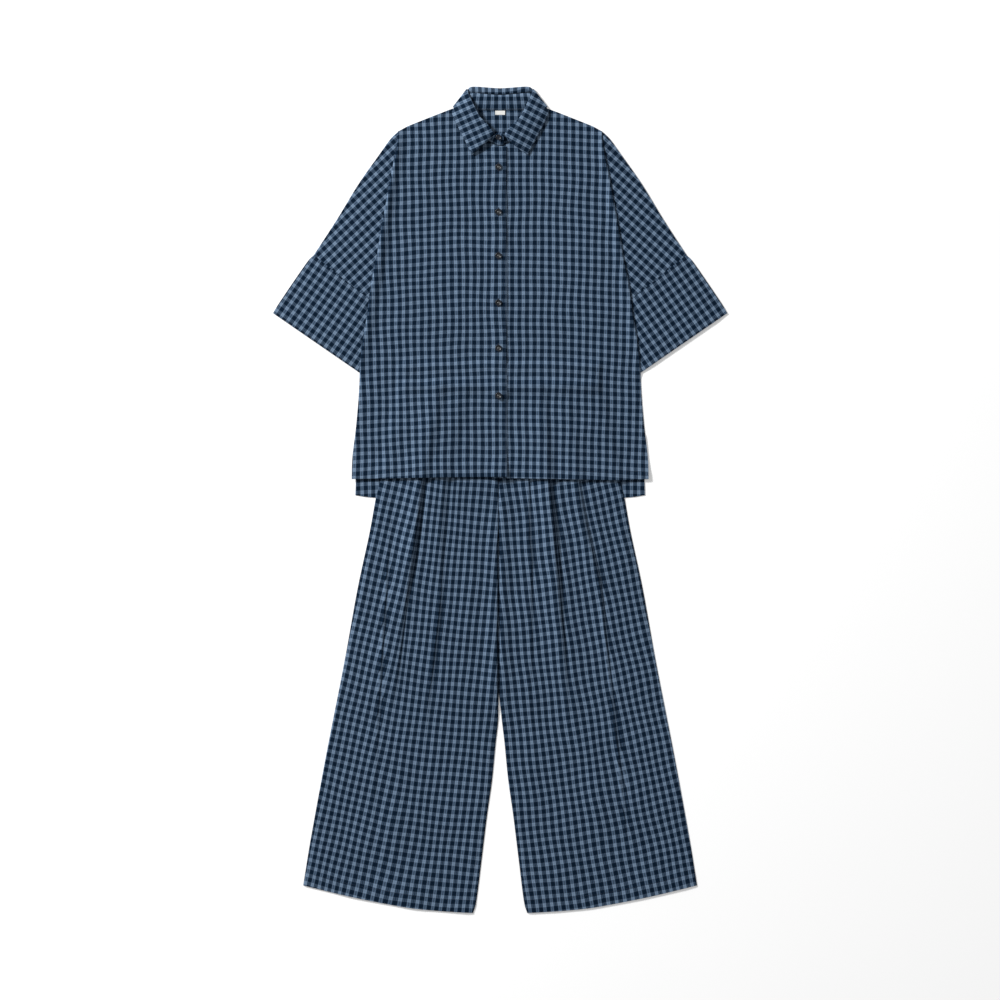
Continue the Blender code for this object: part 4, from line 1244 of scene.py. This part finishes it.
def leaf_checks(grid):
    """Checks of the leaf: square to its outer edge in front, and following the ring round the back."""
    rows = grid.shape[0]
    middle = rows // 2
    steps = np.linalg.norm(np.diff(grid, axis=0), axis=2)
    run = np.concatenate([np.zeros((1, grid.shape[1])), np.cumsum(steps, axis=0)])
    run = (run - run[middle]) / LEAF_PITCH
    steps = np.linalg.norm(np.diff(grid, axis=1), axis=2)[:, ::-1]
    down = np.concatenate([np.cumsum(steps, axis=1)[:, ::-1], np.zeros((rows, 1))], axis=1) / LEAF_PITCH
    uv = np.stack([run + 0.5, down], axis=-1)
    front_rows = len(COLLAR_FRONT) * ROWS_A_SECTION
    for side, turns in LEAF_TURNS.items():
        flat = turned_checks(grid[..., :2], *turns, mirrored(COLLAR_FRONT[0][2:4], side), LEAF_PITCH)
        flat[..., 0] *= -side
        join = front_rows if side < 0 else rows - 1 - front_rows
        flat += np.round(uv[join, LEAF_ROLL] - flat[join, LEAF_ROLL])
        front = slice(0, join + 1) if side < 0 else slice(join, rows)
        behind = slice(join + 1, middle) if side < 0 else slice(middle + 1, join)
        share = (run[behind, LEAF_ROLL] / run[join, LEAF_ROLL])[:, None, None]
        uv[behind] += (flat[join] - uv[join])[None] * smooth(share)
        uv[front] = flat[front]
    return uv


def collar_stand_up(points):
    """How far the soft roll of the collar stands above its flat place, most at the sides and front."""
    y = points[..., 1]
    x = np.abs(points[..., 0])
    return COLLAR_RISE * smooth((0.775 - y) / 0.035) * smooth((y - 0.655) / 0.03) * smooth((x + 0.01) / 0.03)


def make_collar():
    """The stand, closed round the neck with its right end on top, and the leaf that turns over it."""
    order = collar_sections(-1) + collar_sections(1)[-2::-1]
    leaf = denser([leaf_points(part) for part in order])
    share = np.concatenate([np.ones(ROLL_COLUMNS),
                            np.linspace(1.0, LEAF_EDGE_SHARE, leaf.shape[1] - ROLL_COLUMNS)])
    for side in (-1, 1):
        edge = leaf[0 if side < 0 else -1, :, :2]
        way = np.linalg.norm(edge - edge[ROLL_TOP], axis=1) / np.linalg.norm(edge[-1] - edge[ROLL_TOP])
        bulge = FRONT_BULGES[side] * np.sin(math.pi * np.clip(way, 0, 1) ** 0.7)
        for step in range(ROWS_A_SECTION):
            row = step if side < 0 else -1 - step
            fade = 1 - step / ROWS_A_SECTION
            leaf[row, :, :2] -= (bulge * fade)[:, None] * mirrored(BULGE_WAY, side)
    leaf[..., 2] += collar_stand_up(leaf[:, ROLL_TOP, None]) * share
    leaf_piece = grid_piece("collar_leaf", leaf, leaf_checks(leaf))
    wall(leaf_piece, COLLAR_WALL, 0.0)
    stand = denser([end_points(entry, -1, STAND_OVER_Z) for entry in STAND_END]
                   + [stand_points(part) for part in order]
                   + [end_points(entry, 1, STAND_UNDER_Z) for entry in STAND_END[::-1]])
    ends = len(STAND_END) * ROWS_A_SECTION
    standing = np.ones(len(stand))
    standing[:ends] = np.linspace(STAND_END_RISE, 1.0, ends)
    standing[-ends:] = np.linspace(1.0, 0.0, ends)
    high = stand[:, -1, 2] + collar_stand_up(stand[:, -1]) * standing
    low = read(blurred(spread(pile, 1), 2), stand[:, 0, :2]) + GAP
    low[-ends:] = np.minimum(low[-ends:], STAND_UNDER_Z)
    climb = np.linspace(0.0, 1.0, stand.shape[1])[None]
    stand[..., 2] = low[:, None] * (1 - climb) + high[:, None] * climb
    run = run_along(stand[:, 2])
    up = np.linalg.norm(stand - stand[:, :1], axis=2)
    uv = np.stack([np.broadcast_to((run - run[len(run) // 2])[:, None], up.shape), up], axis=-1) / PITCH
    stand_piece = grid_piece("collar_stand", stand, uv)
    wall(stand_piece, COLLAR_WALL, 0.0)
    thin_edge(stand_piece, range(0, stand.shape[0] * stand.shape[1], stand.shape[1]), THIN_SHARE)
    return stand_piece


# Small parts

def trees(pieces):
    """Search trees of finished pieces."""
    bpy.context.view_layer.update()
    depsgraph = bpy.context.evaluated_depsgraph_get()
    return [BVHTree.FromObject(piece, depsgraph) for piece in pieces]


def top_of(found, x, y):
    """The highest point of the pieces at a place."""
    heights = [0.0]
    for tree in found:
        hit = tree.ray_cast(Vector((x, y, 0.5)), Vector((0.0, 0.0, -1.0)))[0]
        if hit is not None:
            heights.append(hit.z)
    return max(heights)


def lathe(profile, steps):
    """Vertices and faces of a turned profile whose first and last points are on the axis."""
    vertices = [(0.0, 0.0, profile[0][1])]
    for r, z in profile[1:-1]:
        for a in 2 * math.pi * np.arange(steps) / steps:
            vertices.append((r * math.cos(a), r * math.sin(a), z))
    vertices.append((0.0, 0.0, profile[-1][1]))
    last = len(vertices) - 1
    faces = []
    for k in range(steps):
        n = (k + 1) % steps
        faces.append((0, 1 + k, 1 + n))
        for a in range(1, last - steps, steps):
            faces.append((a + k, a + steps + k, a + steps + n, a + n))
        faces.append((last - steps + k, last, last - steps + n))
    return vertices, faces


def tube_along(path, radius, sides):
    """Vertices and faces of a thin closed tube along a path of points."""
    path = np.array(path, float)
    count = len(path)
    ahead = unit(np.gradient(path, axis=0))
    side = np.cross(ahead, [0.0, 0.0, 1.0])
    side[np.linalg.norm(side, axis=1) < 1e-6] = [1.0, 0.0, 0.0]
    side = unit(side)
    up = np.cross(side, ahead)
    reach = np.full((count, 1, 1), radius)
    reach[[0, -1]] *= TUBE_TAPER
    turns = 2 * math.pi * np.arange(sides)[:, None] / sides
    rings = path[:, None] + (side[:, None] * np.cos(turns) + up[:, None] * np.sin(turns)) * reach
    faces = []
    for i in range(0, (count - 1) * sides, sides):
        for k in range(sides):
            n = (k + 1) % sides
            faces.append((i + k, i + sides + k, i + sides + n, i + n))
    faces.append(tuple(range(sides)))
    faces.append(tuple((count - 1) * sides + k for k in reversed(range(sides))))
    return list(rings.reshape(-1, 3)), faces


def gather(parts):
    """Several sets of vertices and faces as one."""
    vertices = []
    faces = []
    for points, polygons in parts:
        base = len(vertices)
        vertices.extend(points)
        faces.extend(tuple(base + k for k in polygon) for polygon in polygons)
    return vertices, faces


def make_button(name, x, y, radius, below, sewing_material):
    """A turned four-hole button sewn on with thread."""
    z = max(top_of(below, x + radius * math.cos(a), y + radius * math.sin(a))
            for a in np.arange(8) * math.pi / 4) + GAP
    profile = [(radius * r, BUTTON_THICKNESS * h) for r, h in BUTTON_PROFILE]
    body = placed(name + "_whole", plain_mesh(name, *lathe(profile, 40)))
    hole_at = radius * HOLE_AT
    cutters = [tube_along([(sx * hole_at, sy * hole_at, height) for height in (-0.001, 0.0, 0.002, 0.004)],
                          radius * HOLE_RADIUS, 12) for sx in (-1, 1) for sy in (-1, 1)]
    tool = placed(name + "_holes", plain_mesh(name + "_holes", *gather(cutters)))
    cut = body.modifiers.new("holes", "BOOLEAN")
    cut.object = tool
    cut.operation = "DIFFERENCE"
    cut.solver = "EXACT"
    bpy.context.view_layer.update()
    made = bpy.data.meshes.new_from_object(body.evaluated_get(bpy.context.evaluated_depsgraph_get()))
    for item in (body, tool):
        bpy.data.objects.remove(item, do_unlink=True)
    made.transform(Matrix.Translation((x, y, z)))
    made.name = name
    made.materials.clear()
    made.materials.append(BUTTON)
    made.shade_smooth()
    taken_in(placed(name + "_turned", made), name)
    threads = []
    for sx in (-1, 1):
        for shift in (-0.00018, 0.00018):
            path = [(x + sx * hole_at + shift, y + hole_at * math.cos(a),
                     z + BUTTON_THICKNESS * (0.25 + 0.52 * math.sin(a) ** 0.5))
                    for a in np.linspace(0, math.pi, 9)]
            threads.append(tube_along(path, THREAD_RADIUS, 6))
    mesh_piece(name + "_thread", *gather(threads), sewing_material, slot="button")


def stitch_line(path, found, length, gap, radius):
    """A row of stitches along a line of places, lying on the cloth."""
    path = np.array(path, float)
    run = run_along(path)
    parts = []
    at = 0.0
    while at + length < run[-1]:
        places = []
        for share in (0.0, 0.2, 0.5, 0.8, 1.0):
            x, y = [np.interp(at + length * share, run, path[:, k]) for k in (0, 1)]
            places.append((x, y, top_of(found, x, y) + radius * (0.9 * math.sin(math.pi * share) - 0.3)))
        parts.append(tube_along(places, radius, 5))
        at += length + gap
    return parts


def sew(name, piece, paths, stitch=STITCH, material=THREAD, slot="gingham"):
    """All stitches of one piece of cloth, as one mesh."""
    found = trees([piece])
    parts = [part for path in paths for part in stitch_line(path, found, *stitch)]
    mesh_piece(name + "_stitches", *gather(parts), material, slot=slot)


def beside(points, inset):
    """A line drawn to the left of the way along a line of places."""
    ahead = unit(np.gradient(points, axis=0))
    return points + np.stack([-ahead[:, 1], ahead[:, 0]], 1) * inset


def buttonhole(x, y, found, half=0.0078):
    """A worked buttonhole, upright, whose ends show above and below its button."""
    share = np.linspace(-1, 1, 15)
    bars = [(x + shift + 0 * share, y + half * share, 0.0002) for shift in (-0.0006, 0.0006)]
    share = np.linspace(-1, 1, 5)
    bars += [(x + 0.0011 * share, y + end * half + 0 * share, 0.0003) for end in (-1, 1)]
    return [tube_along([(a, b, top_of(found, a, b) + lift) for a, b in zip(across_x, along_y)], 0.00045, 6)
            for across_x, along_y, lift in bars]


def sew_everything(fronts, legs, sleeves):
    """Rows of stitches along hems, vents, plackets, inseams and band seams."""
    for side, name, hem_table in ((-1, "right", RIGHT_FRONT_HEM), (1, "left", LEFT_FRONT_HEM)):
        edge = across(mirrored(hem_table, side))(np.linspace(0.03, 0.99, 60))
        vent = line(FRONT_VENT, side)(np.linspace(0.0, 0.98, 20))
        upright, free = [[(side * (inset - PLACKET_EDGE), y) for y in PLACKET_ENDS]
                         for inset in PLACKET_STITCHES]
        paths = [edge + (0.0, 0.015), beside(vent, side * -0.008), upright]
        sew("blouse_front_" + name, fronts[side], paths + [free] if side < 0 else paths)
        hem = line(TROUSER_HEM[::-1], side)(np.linspace(0.01, 0.99, 70))
        inner = line([p for p in TROUSER_INNER if p[1] < -0.3], side)(np.linspace(0.02, 0.94, 60))
        sew("trouser_front_" + name, legs[side], [hem + (0.0, 0.024), inner + (side * 0.01, 0.0)])
        way = mirrored(SLEEVE_WAY, side)
        along = np.linspace(0.02, 0.98, 30)
        seam, cuff = [straight(mirrored(top, side), mirrored(inner_end, side))(along) + way * shift
                      for top, inner_end, shift in ((BAND_TOP[0], BAND_SEAM_INNER, 0.0035),
                                                    (BAND_TOP[-1], SLEEVE_HEM_INNER, -0.004))]
        sew("sleeve_band_" + name, sleeves[side][1], [seam, cuff])


def make_label(below):
    """A small woven label with turned ends, bare, sewn inside the back neck."""
    width, length, thickness = LABEL_SIZE
    x, y = np.meshgrid(np.linspace(-0.5, 0.5, 41) * width, np.linspace(-0.5, 0.5, 17) * length)
    z = 0.00004 * np.sin(x * 2 * math.pi / 0.0021) * np.sin(y * 2 * math.pi / 0.006)
    z = z + 0.00025 * smooth((np.abs(x) - (width / 2 - 0.0016)) / 0.0004)
    z = z + top_of(below, 0.0, LABEL_Y) + GAP
    piece = grid_piece("label", np.stack([x, y + LABEL_Y, z], axis=-1), None, LABEL, "label")
    wall(piece, thickness)
    reach = length / 2 - 0.0008
    paths = [[(side * (width / 2 - 0.001), LABEL_Y + end * reach) for end in (-1, 1)] for side in (-1, 1)]
    sew("label", piece, paths, LABEL_STITCH, BUTTON_THREAD, "label")


# Camera, floor and light

def make_studio():
    """A camera straight above, a plain pale floor and soft light from the upper left."""
    scene = bpy.context.scene
    lens = bpy.data.cameras.new("camera")
    lens.lens = LENS
    lens.sensor_width = SENSOR
    lens.clip_end = 60.0
    scene.camera = placed("camera", lens)
    scene.camera.location = (-0.0003, -0.0006, VIEW_WIDTH * LENS / SENSOR + 0.003)
    corners = [(x * FLOOR_REACH, y * FLOOR_REACH, -0.0002) for x, y in ((-1, -1), (1, -1), (1, 1), (-1, 1))]
    floor = placed("floor", plain_mesh("floor", corners, [(0, 1, 2, 3)]))
    material, _, shader = new_material("floor", 0.9)
    for name, setting in FLOOR_LOOK:
        shader.inputs[name].default_value = setting
    floor.data.materials.append(material)
    scene.world = bpy.data.worlds.new("world")
    scene.world.use_nodes = True
    background = scene.world.node_tree.nodes["Background"]
    background.inputs["Color"].default_value = (1.0, 1.0, 1.0, 1.0)
    background.inputs["Strength"].default_value = SKY_STRENGTH
    lamp = bpy.data.lights.new("key", "AREA")
    lamp.energy = KEY_ENERGY
    lamp.shape = "DISK"
    lamp.size = KEY_SIZE
    key = placed("key", lamp)
    key.location = KEY_PLACE
    key.rotation_euler = (-key.location).to_track_quat("-Z", "Y").to_euler()
    scene.view_settings.view_transform = "Standard"


make_studio()
back = make_back()
sleeve_pieces = {-1: make_sleeve(-1, "right"), 1: make_sleeve(1, "left")}
pile_before_legs = blurred(pile, 1)
sleeve_pile = blurred(spread(pile, 3), 5)
make_waistband()
make_leg_back(-1, "right", RIGHT_LEG_CHECKS)
make_leg_back(1, "left", LEFT_LEG_CHECKS)
pile_before_fronts = pile.copy()
leg_pieces = {
    -1: make_leg_front(-1, "right", RIGHT_LEG_FOLDS, RIGHT_LEG_SHAPES, RIGHT_LEG_CHECKS, RIGHT_LEG_CREASES,
                       RIGHT_LEG_PRESSED),
    1: make_leg_front(1, "left", LEFT_LEG_FOLDS, LEFT_LEG_SHAPES, LEFT_LEG_CHECKS, LEFT_LEG_CREASES,
                      LEFT_LEG_PRESSED),
}
front_pieces = {
    1: make_front(1, "left", LEFT_FRONT_HEM, LEFT_FRONT_CREASES),
    -1: make_front(-1, "right", RIGHT_FRONT_HEM, RIGHT_FRONT_CREASES),
}
neckband = make_collar()
make_label(trees([back]))
sew_everything(front_pieces, leg_pieces, sleeve_pieces)
# The collar button is sewn with the dark stitching thread instead of the pale button thread: painted shade,
# as it lies in the shadow under the collar
make_button("button_collar", *COLLAR_BUTTON, COLLAR_BUTTON_RADIUS, trees([neckband]), THREAD)
front_tree = trees([front_pieces[-1]])
worked = [part for row_y in BUTTON_ROWS for part in buttonhole(BUTTON_X, row_y, front_tree)]
mesh_piece("buttonholes", *gather(worked), THREAD)
for number, row_y in enumerate(BUTTON_ROWS, start=1):
    make_button("button_%d" % number, BUTTON_X, row_y, BUTTON_RADIUS, front_tree, BUTTON_THREAD)
